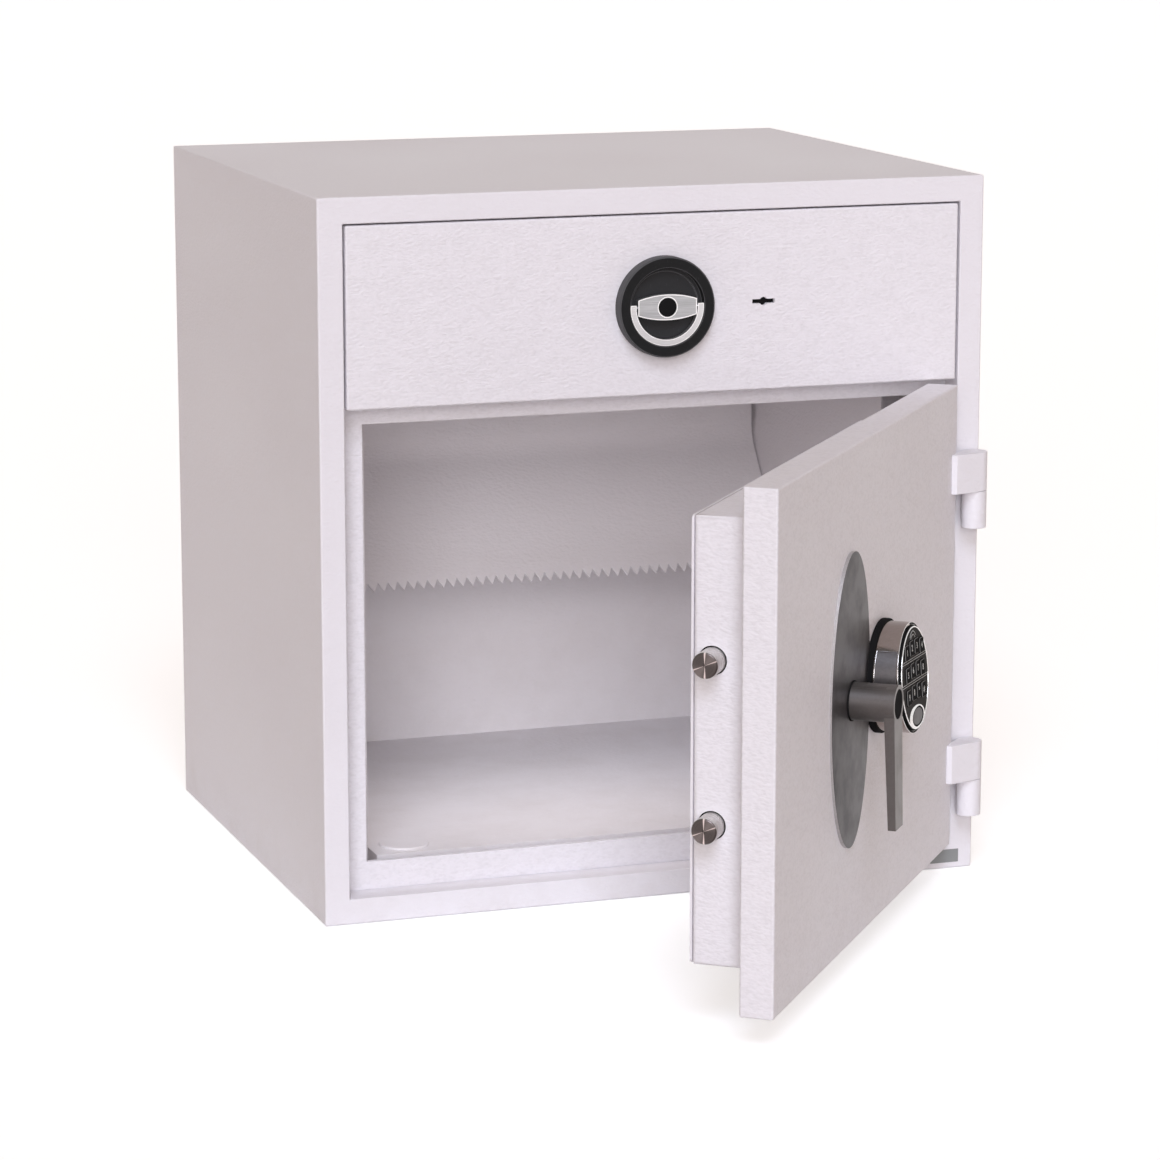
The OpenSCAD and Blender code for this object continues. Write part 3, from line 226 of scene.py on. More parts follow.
def lathe(name, centre, section, steps=96):
    """A turned piece round a line along y: section lists its radius and y from axis to axis."""
    bpy.ops.object.select_all(action="DESELECT")
    bpy.ops.mesh.primitive_plane_add(size=1, location=(0, 0, 0))
    piece = named(name)
    mesh = edit(piece, "VERT")
    bmesh.ops.delete(mesh, geom=mesh.verts[:], context="VERTS")
    points = [mesh.verts.new((centre[0] + r, y, centre[1])) for r, y in section]
    for a, b in zip(points, points[1:]):
        mesh.edges.new((a, b))
    bmesh.update_edit_mesh(piece.data)
    sweep(steps, math.tau, (centre[0], 0, centre[1]))
    return piece


def cut_by(piece, tool, operation="DIFFERENCE"):
    """Cuts a piece with another, which is used up."""
    only(piece)
    bpy.ops.object.modifier_add(type="BOOLEAN")
    modifier = piece.modifiers[-1]
    modifier.operation = operation
    modifier.solver = "EXACT"
    modifier.object = tool
    bpy.ops.object.modifier_apply(modifier=modifier.name)
    bpy.data.objects.remove(tool)
    return piece


def round_edges(piece, radius, segments=2, sharp=32.0, test=None, mark=-1):
    """Rounds a piece's sharp edges, or those that pass a test, and may mark the new faces."""
    while len(piece.data.materials) <= mark:
        piece.data.materials.append(None)
    mesh = edit(piece, "EDGE")
    bpy.ops.mesh.edges_select_sharp(sharpness=math.radians(sharp))
    if test is not None:
        chosen = {e.index for e in mesh.edges if e.select and test(e)}
        bpy.ops.mesh.select_all(action="DESELECT")
        pick(mesh, "edges", lambda e: e.index in chosen)
    bpy.ops.mesh.bevel(
        offset=radius, segments=segments, profile=0.5, affect="EDGES", clamp_overlap=True,
        material=mark,
    )
    leave_edit()
    return piece


def outline_faces(piece, width, mark, test):
    """Splits a band off along the outline of the faces that pass a test, and marks it for a
    painted highlight.
    """
    mesh = edit(piece)
    pick(mesh, "faces", test)
    bpy.ops.mesh.inset(thickness=width, depth=0)
    leave_edit()
    for face in piece.data.polygons:
        if not face.select and test(face):
            face.material_index = mark


def smooth(piece):
    """Smooth shading that keeps flat faces flat beside their rounded edges."""
    only(piece)
    bpy.ops.object.shade_smooth_by_angle(angle=SMOOTH_ANGLE)
    bpy.ops.object.modifier_add(type="WEIGHTED_NORMAL")
    modifier = piece.modifiers[-1]
    modifier.keep_sharp = True
    bpy.ops.object.modifier_apply(modifier=modifier.name)


def aimed(direction):
    """The rotation that points a camera or a lamp this way."""
    return Vector(direction).to_track_quat("-Z", "Y").to_euler()


def join(name, *pieces):
    """One piece of several."""
    only(*pieces)
    bpy.ops.object.join()
    return named(name)


def settle(piece, place):
    """Moves a piece from millimetres into the shared frame, with its place in its mesh."""
    piece.data.transform(place @ piece.matrix_world)
    piece.matrix_world = Matrix.Identity(4)
    piece.data.update()


def mark_faces(piece, which):
    """Marks each face with the number of the piece's finish that it takes."""
    while len(piece.data.materials) < MOST_FINISHES:
        piece.data.materials.append(None)
    for face in piece.data.polygons:
        face.material_index = which(face)


def finish_piece(piece, body, finishes, nodes=()):
    """Gives a piece its finishes, body and slot, and the CAD nodes that it stands for."""
    if isinstance(finishes, str):
        finishes = [finishes]
    marks = [face.material_index for face in piece.data.polygons]
    piece.data.materials.clear()
    for finish in finishes:
        piece.data.materials.append(FINISHES[finish])
    for face, mark in zip(piece.data.polygons, marks):
        face.material_index = min(mark, len(finishes) - 1)
    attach(piece, body)
    if nodes:
        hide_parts(*nodes)


def copy_of(node, name):
    """A copy of a CAD node with its triangles merged into whole faces."""
    source = frame["nodes"][node]
    piece = source.copy()
    piece.data = source.data.copy()
    piece.name = name
    piece.data.name = name
    for key in [k for k in piece.keys() if k.startswith("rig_")]:
        del piece[key]
    piece.parent = None
    bpy.context.scene.collection.objects.link(piece)
    edit(piece)
    bpy.ops.mesh.select_all(action="SELECT")
    bpy.ops.mesh.remove_doubles(threshold=MERGE_CAD)
    bpy.ops.mesh.dissolve_limited(angle_limit=FLAT_ANGLE)
    bpy.ops.mesh.customdata_custom_splitnormals_clear()
    leave_edit()
    return piece


def flat_front(face, front):
    """Whether a face lies in the plane of a piece's front."""
    middle = face.calc_center_median() if isinstance(face, bmesh.types.BMFace) else face.center
    return face.normal.y < -0.999 and middle.y < front


def soften(
    node, name, radius, finishes, segments=2, sharp=32.0, test=None, which=None, band=0.0
):
    """A CAD node with its edges rounded as folding, coating or polishing leaves them.

    The second finish goes on the rounded edges, and on a band of this width round the front; in
    most pieces it is a lighter copy, a painted highlight.
    Which says what finish a face takes.
    """
    body = frame["nodes"][node]["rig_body"]
    piece = copy_of(node, name)
    if which:
        mark_faces(piece, which)
    round_edges(piece, radius * MM, segments, sharp, test, 1)
    if band:
        front = min((piece.matrix_world @ v.co).y for v in piece.data.vertices) + 0.05 * MM
        outline_faces(piece, band * MM, 1, lambda f: flat_front(f, front))
    smooth(piece)
    finish_piece(piece, body, finishes, [node])


# Finishes

FINISHES = {}


class Wiring:
    """Short ways to add and join nodes in a tree."""

    def __init__(self, tree):
        self.tree = tree

    def add(self, kind, **values):
        node = self.tree.nodes.new(kind)
        for key, value in values.items():
            setattr(node, key, value)
        return node

    def link(self, source, target):
        self.tree.links.new(source, target)

    def feed(self, socket, value):
        """Joins a socket to another, or sets its value."""
        if isinstance(value, bpy.types.NodeSocket):
            self.link(value, socket)
        else:
            socket.default_value = value

    def place(self, scale=(1, 1, 1), turn=(0, 0, 0)):
        """Object coordinates, stretched and turned."""
        coordinates = self.add("ShaderNodeTexCoord").outputs["Object"]
        mapping = self.add("ShaderNodeMapping", vector_type="POINT")
        mapping.inputs["Rotation"].default_value = turn
        mapping.inputs["Scale"].default_value = scale
        self.link(coordinates, mapping.inputs["Vector"])
        return mapping.outputs["Vector"]

    def noise(self, vector, scale, detail, roughness):
        node = self.add("ShaderNodeTexNoise")
        self.link(vector, node.inputs["Vector"])
        self.feed(node.inputs["Scale"], scale)
        node.inputs["Detail"].default_value = detail
        node.inputs["Roughness"].default_value = roughness
        return node.outputs["Fac"]

    def math(self, operation, a, b=0.0):
        node = self.add("ShaderNodeMath", operation=operation)
        self.feed(node.inputs[0], a)
        self.feed(node.inputs[1], b)
        return node.outputs[0]

    def span(self, value, low, high, to_low=0.0, to_high=1.0):
        """A value's range stretched to another, without going past it."""
        node = self.add("ShaderNodeMapRange", clamp=True)
        for socket, number in zip(node.inputs[:5], (value, low, high, to_low, to_high)):
            self.feed(socket, number)
        return node.outputs["Result"]

    def mix(self, factor, a, b):
        node = self.add("ShaderNodeMix", data_type="RGBA")
        self.feed(node.inputs["Factor"], factor)
        for socket, value in zip([s for s in node.inputs if s.type == "RGBA"], (a, b)):
            self.feed(socket, value)
        return next(s for s in node.outputs if s.type == "RGBA")


def new_group(name, inputs, outputs):
    """A shader node group: its wiring, its inputs' values and its outputs' sockets."""
    tree = bpy.data.node_groups.new(name, "ShaderNodeTree")
    for label, value in inputs.items():
        socket = tree.interface.new_socket(
            name=label, in_out="INPUT", socket_type="NodeSocketFloat"
        )
        socket.default_value = value
    for label in outputs:
        tree.interface.new_socket(name=label, in_out="OUTPUT", socket_type="NodeSocketFloat")
    wire = Wiring(tree)
    return wire, wire.add("NodeGroupInput").outputs, wire.add("NodeGroupOutput").inputs


def coat_group():
    """Fine orange peel of a powder coat, with soft clouds in its tone and its sheen."""
    wire, given, out = new_group(
        "Powder coat grain", {"Grain": 400.0, "Peel": 150.0}, ("Height", "Clouds", "Specks")
    )
    place = wire.place((0.6, 0.6, 1.15))
    fine = wire.math("MULTIPLY", wire.noise(place, given["Grain"], 1.5, 0.45), 0.65)
    peel = wire.math("MULTIPLY", wire.noise(place, given["Peel"], 1.0, 0.4), 0.35)
    wire.link(wire.math("ADD", fine, peel), out["Height"])
    wire.link(wire.noise(place, 6.0, 3.0, 0.55), out["Clouds"])
    wire.link(wire.span(wire.noise(place, 340.0, 2.0, 0.6), 0.66, 0.78), out["Specks"])


def dirt_group():
    """Grime that gathers in patches low down."""
    wire, given, out = new_group("Shop grime", {"Height": 0.06, "Strength": 0.5}, ("Mask",))
    place = wire.place()
    split = wire.add("ShaderNodeSeparateXYZ")
    wire.link(place, split.inputs[0])
    low = wire.span(split.outputs["Z"], 0.0, given["Height"], 1.0, 0.0)
    patches = wire.span(wire.noise(place, 22.0, 4.0, 0.6), 0.42, 0.72)
    mask = wire.math("MULTIPLY", wire.math("MULTIPLY", low, patches), given["Strength"])
    wire.link(mask, out["Mask"])


def grain_group():
    """Long fine scratches of brushed or drawn metal, along the longer stretch."""
    wire, given, out = new_group(
        "Drawn metal grain", {"Along": 12.0, "Across": 1400.0, "Turn": 0.0}, ("Height", "Tone")
    )
    turn = wire.add("ShaderNodeVectorRotate", rotation_type="Z_AXIS")
    wire.link(wire.add("ShaderNodeTexCoord").outputs["Object"], turn.inputs["Vector"])
    wire.link(given["Turn"], turn.inputs["Angle"])
    stretch = wire.add("ShaderNodeCombineXYZ")
    for axis, way in zip("XYZ", ("Along", "Across", "Across")):
        wire.link(given[way], stretch.inputs[axis])
    scaled = wire.add("ShaderNodeVectorMath", operation="MULTIPLY")
    wire.link(turn.outputs[0], scaled.inputs[0])
    wire.link(stretch.outputs[0], scaled.inputs[1])
    lines = wire.noise(scaled.outputs[0], 1.0, 2.0, 0.6)
    wire.link(lines, out["Height"])
    wire.link(wire.span(lines, 0.3, 0.7), out["Tone"])


def smudge_group():
    """Uneven sheen from handling: soft prints and short light scratches."""
    wire, given, out = new_group("Handling marks", {"Size": 45.0}, ("Prints", "Scratches"))
    prints = wire.noise(wire.place(), given["Size"], 3.0, 0.6)
    wire.link(wire.span(prints, 0.4, 0.7), out["Prints"])
    slanted = wire.place((1500, 90, 260), turn=(0.4, 0.3, 0.9))
    wire.link(wire.span(wire.noise(slanted, 1.0, 1.0, 0.4), 0.70, 0.80), out["Scratches"])


def material(name, colour, roughness, metallic=0.0, **sockets):
    """A material with its shader, whose plain values are set on the shader itself."""
    made = bpy.data.materials.new(name)
    made.use_nodes = True
    shader = made.node_tree.nodes["Principled BSDF"]
    shader.inputs["Base Color"].default_value = (*colour[:3], 1)
    shader.inputs["Roughness"].default_value = roughness
    shader.inputs["Metallic"].default_value = metallic
    for key, value in sockets.items():
        shader.inputs[key.replace("_", " ")].default_value = value
    FINISHES[name] = made
    return Wiring(made.node_tree), shader


def use_group(wire, name, **values):
    """A shared effect placed in a material with its own values."""
    node = wire.add("ShaderNodeGroup")
    node.node_tree = bpy.data.node_groups[name]
    for key, value in values.items():
        node.inputs[key].default_value = value
    return node.outputs


def bump(wire, shader, height, distance):
    """Relief of a given depth in metres."""
    node = wire.add("ShaderNodeBump")
    node.inputs["Strength"].default_value = 1.0
    node.inputs["Distance"].default_value = distance
    wire.link(height, node.inputs["Height"])
    wire.link(node.outputs["Normal"], shader.inputs["Normal"])


def seen_directly(wire):
    """1 where the camera, a reflection or a glass sees a surface, and 0 for its light."""
    path = wire.add("ShaderNodeLightPath").outputs
    mirrored = wire.math("MAXIMUM", path["Is Glossy Ray"], path["Is Transmission Ray"])
    return wire.math("MAXIMUM", path["Is Camera Ray"], mirrored)


def tinted(colour, factor):
    """A colour made darker or lighter."""
    return (*[c * factor for c in colour[:3]], 1)


def coat_finish(name, colour, depth, grime_height, grime, hollow_shade=0.0):
    """Off-white powder coat. Hollow shade paints shade into the hollows of its grain."""
    wire, shader = material(name, colour, 0.5, IOR=1.5)
    grain = use_group(wire, "Powder coat grain")
    dirt = use_group(wire, "Shop grime", Height=grime_height, Strength=grime)
    clouds = wire.span(grain["Clouds"], 0.3, 0.7)
    cloudy = wire.mix(clouds, tinted(colour, 0.985), tinted(colour, 1.0))
    # Painted shade: the grain's hollows are darkened towards a grey-brown.
    hollows = wire.span(grain["Height"], 0.36, 0.56, hollow_shade, 0.0)
    base = wire.mix(hollows, cloudy, (0.30, 0.28, 0.28, 1))
    specked = wire.mix(wire.math("MULTIPLY", grain["Specks"], 0.10), base, (0.45, 0.42, 0.40, 1))
    soiled = wire.mix(dirt["Mask"], specked, (0.52, 0.46, 0.42, 1))
    wire.link(soiled, shader.inputs["Base Color"])
    wire.link(wire.span(grain["Clouds"], 0.3, 0.7, 0.44, 0.56), shader.inputs["Roughness"])
    bump(wire, shader, grain["Height"], depth)


def metal_finish(name, colour, roughness, metallic, grain, marks=0.25, streak=0.07):
    """A metal with a grain, handling marks and an uneven sheen."""
    wire, shader = material(name, colour, roughness, metallic)
    along, across, turn, depth = grain
    lines = use_group(wire, "Drawn metal grain", Along=along, Across=across, Turn=turn)
    prints = use_group(wire, "Handling marks")
    toned = wire.mix(lines["Tone"], tinted(colour, 1 - streak), tinted(colour, 1 + streak))
    scratches = wire.math("MULTIPLY", prints["Scratches"], marks)
    worn = wire.mix(scratches, toned, tinted(colour, 1.35))
    wire.link(worn, shader.inputs["Base Color"])
    sheen = wire.span(prints["Prints"], 0.0, 1.0, roughness * 0.9, roughness * 1.18)
    wire.link(sheen, shader.inputs["Roughness"])
    bump(wire, shader, lines["Height"], depth)


def plastic_finish(name, colour, roughness, grain, wear, shine=0.5):
    """Moulded plastic or fine matte paint with a pebbled surface."""
    wire, shader = material(name, colour, roughness, IOR=1.48, Specular_IOR_Level=shine)
    fineness, depth = grain
    pebbles = use_group(wire, "Powder coat grain", Grain=fineness, Peel=fineness / 4)
    prints = use_group(wire, "Handling marks")
    clouds = wire.span(pebbles["Clouds"], 0.3, 0.7)
    base = wire.mix(clouds, tinted(colour, 0.85), tinted(colour, 1.15))
    worn = wire.mix(wire.math("MULTIPLY", prints["Scratches"], wear), base, (0.25, 0.25, 0.25, 1))
    wire.link(worn, shader.inputs["Base Color"])
    sheen = wire.span(prints["Prints"], 0.0, 1.0, roughness * 0.88, roughness * 1.12)
    wire.link(sheen, shader.inputs["Roughness"])
    bump(wire, shader, pebbles["Height"], depth)


def turning_rings(wire, scale, detail):
    """The place round a turned piece's axis and its rings, read from the piece's own UV map."""
    split = wire.add("ShaderNodeSeparateXYZ")
    wire.link(wire.add("ShaderNodeUVMap", uv_map="turning").outputs["UV"], split.inputs[0])
    rings = wire.add("ShaderNodeTexNoise", noise_dimensions="1D")
    wire.link(split.outputs["X"], rings.inputs["W"])
    rings.inputs["Scale"].default_value = scale
    rings.inputs["Detail"].default_value = detail
    return split.outputs["Y"], rings.outputs["Fac"]


def turned_finish(name, colour, roughness):
    """Turned metal with fine rings round its axis."""
    wire, shader = material(name, colour, roughness, 1.0, Anisotropic=0.85)
    _, rings = turning_rings(wire, 34.0, 3.0)
    ringed = wire.mix(wire.span(rings, 0.3, 0.7), tinted(colour, 0.86), tinted(colour, 1.08))
    wire.link(ringed, shader.inputs["Base Color"])
    sheen = wire.span(rings, 0.3, 0.7, roughness * 0.8, roughness * 1.25)
    wire.link(sheen, shader.inputs["Roughness"])
    tangent = wire.add("ShaderNodeTangent", direction_type="UV_MAP", uv_map="turning")
    wire.link(tangent.outputs[0], shader.inputs["Tangent"])
    bump(wire, shader, rings, 4e-5)


def faced_finish(name, colour):
    """The faced end of a turned bar with its reflection painted: dark rings, and two thin bright
    rays and a faint broad one as painted highlights.
    """
    wire, shader = material(name, colour, 0.3, 1.0)
    round_axis, rings = turning_rings(wire, 26.0, 2.0)
    rays = []
    for angle, sharpness, strength in ((90, 380.0, 1.0), (23, 700.0, 0.8), (50, 5.0, 0.12)):
        turn = wire.math("SUBTRACT", round_axis, angle / 360)
        wave = wire.math("ABSOLUTE", wire.math("COSINE", wire.math("MULTIPLY", turn, math.tau)))
        rays.append(wire.math("MULTIPLY", wire.math("POWER", wave, sharpness), strength))
    # Painted highlight: the rays brighten the face, and the dark rings stand for a painted dark
    # reflection.
    glow = wire.math("MAXIMUM", wire.math("MAXIMUM", rays[0], rays[1]), rays[2])
    dark = wire.mix(wire.span(rings, 0.3, 0.7), tinted(colour, 0.13), tinted(colour, 0.21))
    wire.link(wire.mix(glow, dark, tinted(colour, 1.7)), shader.inputs["Base Color"])
    bump(wire, shader, rings, 3e-5)


# Settings that a user would change


def colour_setting(name, description, default):
    return FloatVectorProperty(
        name=name, description=description, default=default, subtype="COLOR", min=0, max=1
    )


class SafeStageSettings(bpy.types.PropertyGroup):
    """The light, the floor and the camera."""

    ambient: FloatProperty(
        name="Ambient light", description="Even light from all sides", default=0.24, min=0, max=1
    )
    key: FloatProperty(
        name="Key light", description="Strength of the soft light from the front",
        default=1.29, min=0, max=5,
    )
    high: FloatProperty(
        name="High light", description="Strength of the soft light from above the camera",
        default=1.27, min=0, max=5,
    )
    inside: FloatProperty(
        name="Inside light", description="Power of the weak lamp in the compartment, in watts",
        default=0.13, min=0, max=5,
    )
    key_softness: FloatProperty(
        name="Key softness", description="Angle that the key light fills",
        default=math.radians(28), subtype="ANGLE",
    )
    floor_size: FloatProperty(
        name="Floor", description="Half the floor's width", default=30, unit="LENGTH"
    )
    lens: FloatProperty(
        name="Lens", description="Focal length of the camera", default=126.43,
        subtype="DISTANCE_CAMERA",
    )
    camera_at: FloatVectorProperty(
        name="Camera", description="Where the camera stands", default=(-1.1895, -3.4735, 0.9660),
        subtype="TRANSLATION",
    )
    camera_aim: FloatVectorProperty(
        name="Aim", description="Direction in which the camera looks",
        default=(0.3214, 0.9265, -0.1955), subtype="DIRECTION",
    )


class SafeFinishSettings(bpy.types.PropertyGroup):
    """Colours of the finishes."""

    coat: colour_setting(
        "Coat", "Powder coat of the cabinet, drawer and door", (0.805, 0.785, 0.82)
    )
    liner: colour_setting("Liner", "Powder coat of the inside", (0.83, 0.80, 0.815))
    black: colour_setting("Black", "Cup handle and keypad", (0.013, 0.013, 0.0135))
    escutcheon: colour_setting(
        "Escutcheon", "Dark satin metal of the oval plate", (0.052, 0.047, 0.049)
    )
    pewter: colour_setting("Pewter", "Hub and lever", (0.135, 0.122, 0.117))
    silver: colour_setting("Silver", "Eye bar", (0.46, 0.46, 0.47))
    grain_depth: FloatProperty(
        name="Coat grain", description="Depth of the powder coat's grain",
        default=0.0007, unit="LENGTH", precision=5,
    )
    grime: FloatProperty(
        name="Grime", description="How much grime lies low on the cabinet", default=0.22,
        min=0, max=1,
    )


class SafeEdgeSettings(bpy.types.PropertyGroup):
    """Radii on the edges, in millimetres."""

    drawer: FloatProperty(name="Drawer", description="Edges of the drawer's front", default=0.6)
    door: FloatProperty(name="Door", description="Edges of the door's plate", default=0.7)
    sheet: FloatProperty(name="Sheet", description="Cut edges of sheet metal", default=0.5)
    fittings: FloatProperty(
        name="Fittings", description="Edges of hub, lever and hinges", default=0.8
    )
    segments: IntProperty(
        name="Steps", description="Steps round each edge", default=3, min=1, max=6
    )


class SafeKeypadSettings(bpy.types.PropertyGroup):
    """Printing on the keypad."""

    digit_size: FloatProperty(name="Digits", description="Height of a digit", default=5.4)
    line_gap: FloatProperty(name="Line gap", description="Gap in a double line", default=1.9)
    line_width: FloatProperty(
        name="Line width", description="Width of a printed line", default=0.42
    )


class DropSafeSettings(bpy.types.PropertyGroup):
    """All settings of the drop safe."""

    stage: PointerProperty(type=SafeStageSettings)
    finish: PointerProperty(type=SafeFinishSettings)
    edge: PointerProperty(type=SafeEdgeSettings)
    keypad: PointerProperty(type=SafeKeypadSettings)


def settings():
    return bpy.context.scene.drop_safe


# Operators


class DROPSAFE_OT_stage(bpy.types.Operator):
    """Add the floor, the light and the camera"""

    bl_idname = "drop_safe.stage"
    bl_label = "Stage"

    def execute(self, context):
        look = settings().stage
        scene = context.scene
        bpy.ops.object.select_all(action="DESELECT")
        bpy.ops.object.camera_add(location=look.camera_at)
        camera = context.active_object
        camera.name = "photo_camera"
        camera.rotation_euler = aimed(look.camera_aim)
        camera.data.lens = look.lens
        camera.data.sensor_width = 36
        camera.data.clip_end = 200
        scene.camera = camera

        bpy.ops.mesh.primitive_plane_add(size=2 * look.floor_size, location=(0, 0, -0.0004))
        floor = named("floor")
        bpy.ops.object.transform_apply(location=True, rotation=True, scale=True)
        floor.data.materials.append(self.floor_material())

        self.sun("key_light", KEY_AIM, look.key, look.key_softness, KEY_COLOUR)
        self.sun("high_light", HIGH_AIM, look.high, look.key_softness, HIGH_COLOUR)
        self.inside_lamp(look.inside)
        self.world(scene, look.ambient)
        scene.view_settings.view_transform = "Standard"
        return {"FINISHED"}

    def lamp(self, kind, name, at, strength, colour):
        bpy.ops.object.light_add(type=kind, location=at)
        lamp = bpy.context.active_object
        lamp.name = name
        lamp.data.energy = strength
        lamp.data.color = colour
        return lamp

    def sun(self, name, aim, strength, softness, colour):
        lamp = self.lamp("SUN", name, (0, 0, 3), strength, colour)
        lamp.data.angle = softness
        lamp.rotation_euler = aimed(aim)

    def inside_lamp(self, power):
        """A weak lamp behind the doorway's head that shines on the compartment's floor."""
        at = IN_CABINET @ Vector(INSIDE_AT)
        lamp = self.lamp("AREA", "inside_light", at, power, INSIDE_COLOUR)
        lamp.data.shape = "RECTANGLE"
        lamp.data.size, lamp.data.size_y = INSIDE_W, INSIDE_D
        lamp.data.spread = INSIDE_SPREAD

    def floor_material(self):
        made = bpy.data.materials.new("pale_floor")
        made.use_nodes = True
        wire = Wiring(made.node_tree)
        shader = made.node_tree.nodes["Principled BSDF"]
        shader.inputs["Base Color"].default_value = FLOOR_COLOUR
        shader.inputs["Roughness"].default_value = 0.9
        shader.inputs["Specular IOR Level"].default_value = 0.1
        shader.inputs["Emission Color"].default_value = WHITE
        glow = wire.math("MULTIPLY", seen_directly(wire), FLOOR_GLOW)
        wire.link(glow, shader.inputs["Emission Strength"])
        return made

    def world(self, scene, ambient):
        world = bpy.data.worlds.new("studio")
        scene.world = world
        world.use_nodes = True
        wire = Wiring(world.node_tree)
        nodes = world.node_tree.nodes
        light = nodes["Background"]
        light.inputs["Color"].default_value = AMBIENT_COLOUR
        light.inputs["Strength"].default_value = ambient
        backdrop = wire.add("ShaderNodeBackground")
        backdrop.inputs["Color"].default_value = WHITE
        backdrop.inputs["Strength"].default_value = 1.0
        blend = wire.add("ShaderNodeMixShader")
        wire.link(seen_directly(wire), blend.inputs[0])
        wire.link(light.outputs[0], blend.inputs[1])
        wire.link(backdrop.outputs[0], blend.inputs[2])
        wire.link(blend.outputs[0], nodes["World Output"].inputs["Surface"])


class DROPSAFE_OT_finishes(bpy.types.Operator):
    """Make every finish, and give it to the CAD pieces of its slot"""

    bl_idname = "drop_safe.finishes"
    bl_label = "Finishes"

    def execute(self, context):
        look = settings().finish
        coat, black, pewter = look.coat, look.black, look.pewter
        for make_group in (coat_group, dirt_group, grain_group, smudge_group):
            make_group()
        depth = look.grain_depth
        coat_finish("powder_coat", coat, depth, 0.05, look.grime)
        # The front coat has painted shade in its grain's hollows.
        coat_finish("front_coat", tinted(coat, 1.015), depth * 1.4, 0.05, look.grime, 0.09)
        coat_finish("liner_coat", look.liner, depth * 1.2, 0.30, 0.16)
        plastic_finish("filling", (0.42, 0.39, 0.35), 0.9, POURED, 0.0)
        metal_finish("zinc_steel", (0.50, 0.51, 0.53), 0.38, 1.0, ROLLED)
        metal_finish("stainless", (0.50, 0.48, 0.46), 0.28, 1.0, GROUND)
        turned_finish("turned_steel", (0.64, 0.61, 0.59), 0.30)
        # Faced ends: painted highlights over a painted dark reflection.
        faced_finish("faced_steel_painted_reflection", (0.52, 0.435, 0.42))
        plastic_finish("black_metal", black, 0.5, PAINTED, 0.1, 0.1)
        # A lighter black: painted highlight on the cup's rim.
        plastic_finish("cup_edge_highlight", tinted(black, 6.0), 0.5, PAINTED, 0.1, 0.1)
        plastic_finish("cup_floor", tinted(black, 2.2), 0.6, PEBBLED, 0.1, 0.1)
        metal_finish("satin_silver", look.silver, 0.33, 0.9, BRUSHED, streak=0.2)
        # Near-white silver: painted highlight on the edges of the eye bar and bail.
        metal_finish("bright_edge_highlight", (0.96, 0.95, 0.95), 0.3, 0.9, BRUSHED)
        metal_finish("bail_silver", (0.68, 0.67, 0.68), 0.3, 0.9, BRUSHED)
        metal_finish("dark_metal", look.escutcheon, 0.42, 0.65, SATIN, 0.05, 0.02)
        # A lighter copy of the dark metal: painted highlight on the oval plate's sides.
        metal_finish("dark_edge_highlight", (0.45, 0.43, 0.43), 0.35, 0.7, SATIN)
        metal_finish("pewter", pewter, 0.36, 0.8, CAST, 0.12, 0.05)
        # A lighter pewter: painted highlight on the lever's edges.
        metal_finish("pewter_edge_highlight", tinted(pewter, 2.4), 0.3, 0.8, CAST)
        metal_finish("cover_metal", (0.150, 0.138, 0.138), 0.34, 0.9, BLASTED)
        plastic_finish("black_plastic", tinted(black, 0.9), 0.5, MOULDED, 0.06, 0.003)
        plastic_finish("face_plastic", (0.042, 0.041, 0.040), 0.4, MOULDED, 0.1, 0.004)
        # Light grey: painted highlight on the keys' rounded edges.
        plastic_finish("key_edge", (0.19, 0.19, 0.185), 0.4, MOULDED, 0.1, 0.004)
        metal_finish("chrome", (0.80, 0.78, 0.77), 0.10, 1.0, POLISHED, 0.08)
        # Chrome darkened and warmed: a painted reflection of a darker, tan room.
        metal_finish("pad_chrome_painted_reflection", (0.38, 0.33, 0.305), 0.16, 1.0, POLISHED, 0.1)
        plastic_finish("print_white", (0.42, 0.42, 0.41), 0.5, PRINTED, 0.0)
        plastic_finish("label_paper", (0.24, 0.25, 0.25), 0.4, PRINTED, 0.1)
        for name, node in frame["nodes"].items():
            node.data.materials.clear()
            node.data.materials.append(FINISHES[SLOTS[name]])
        return {"FINISHED"}


class DROPSAFE_OT_cabinet(bpy.types.Operator):
    """Round the folded and cut edges of the cabinet"""

    bl_idname = "drop_safe.cabinet"
    bl_label = "Cabinet"

    def execute(self, context):
        edge = settings().edge
        soften("outer_shell", "cabinet_shell", 1.2, ["powder_coat"], edge.segments,
               test=lambda e: all(v.co.y < SHELL_FRONT_Y for v in e.verts))
        soften("front_frame", "recess_frame", edge.sheet, "front_coat")
        soften("anchor_sleeves", "floor_sleeves", 0.4, "liner_coat")
        soften("anti_fish_baffle", "toothed_baffle", 0.2, "liner_coat", 1)
        soften("baffle_strip", "baffle_stiffener", 0.4, "liner_coat")
        soften("hinge_knuckles", "cabinet_knuckles", edge.fittings, "powder_coat")
        self.caps()
        self.label()
        return {"FINISHED"}

    def caps(self):
        """Flush caps over the floor fixings."""
        section = [(0, -0.9), (20.6, -0.9), (21.4, -0.7), (21.7, -0.2), (21.7, 0), (0, 0)]
        caps = []
        for x in ANCHOR_XS:
            for y in ANCHOR_YS:
                cap = lathe("cap", (0, 0), section, 64)
                cap.data.transform(
                    Matrix.Translation((x, y, ANCHOR_TOP)) @ Matrix.Rotation(-math.pi / 2, 4, "X")
                )
                caps.append(cap)
        piece = join("floor_caps", *caps)
        smooth(piece)
        settle(piece, IN_CABINET)
        finish_piece(piece, "cabinet", "liner_coat")

    def label(self):
        """A blank paper label low on the border."""
        piece = block("blank_label", LABEL_LOW, LABEL_HIGH)
        round_edges(piece, 0.04, 1)
        settle(piece, IN_CABINET)
        finish_piece(piece, "cabinet", "label_paper")


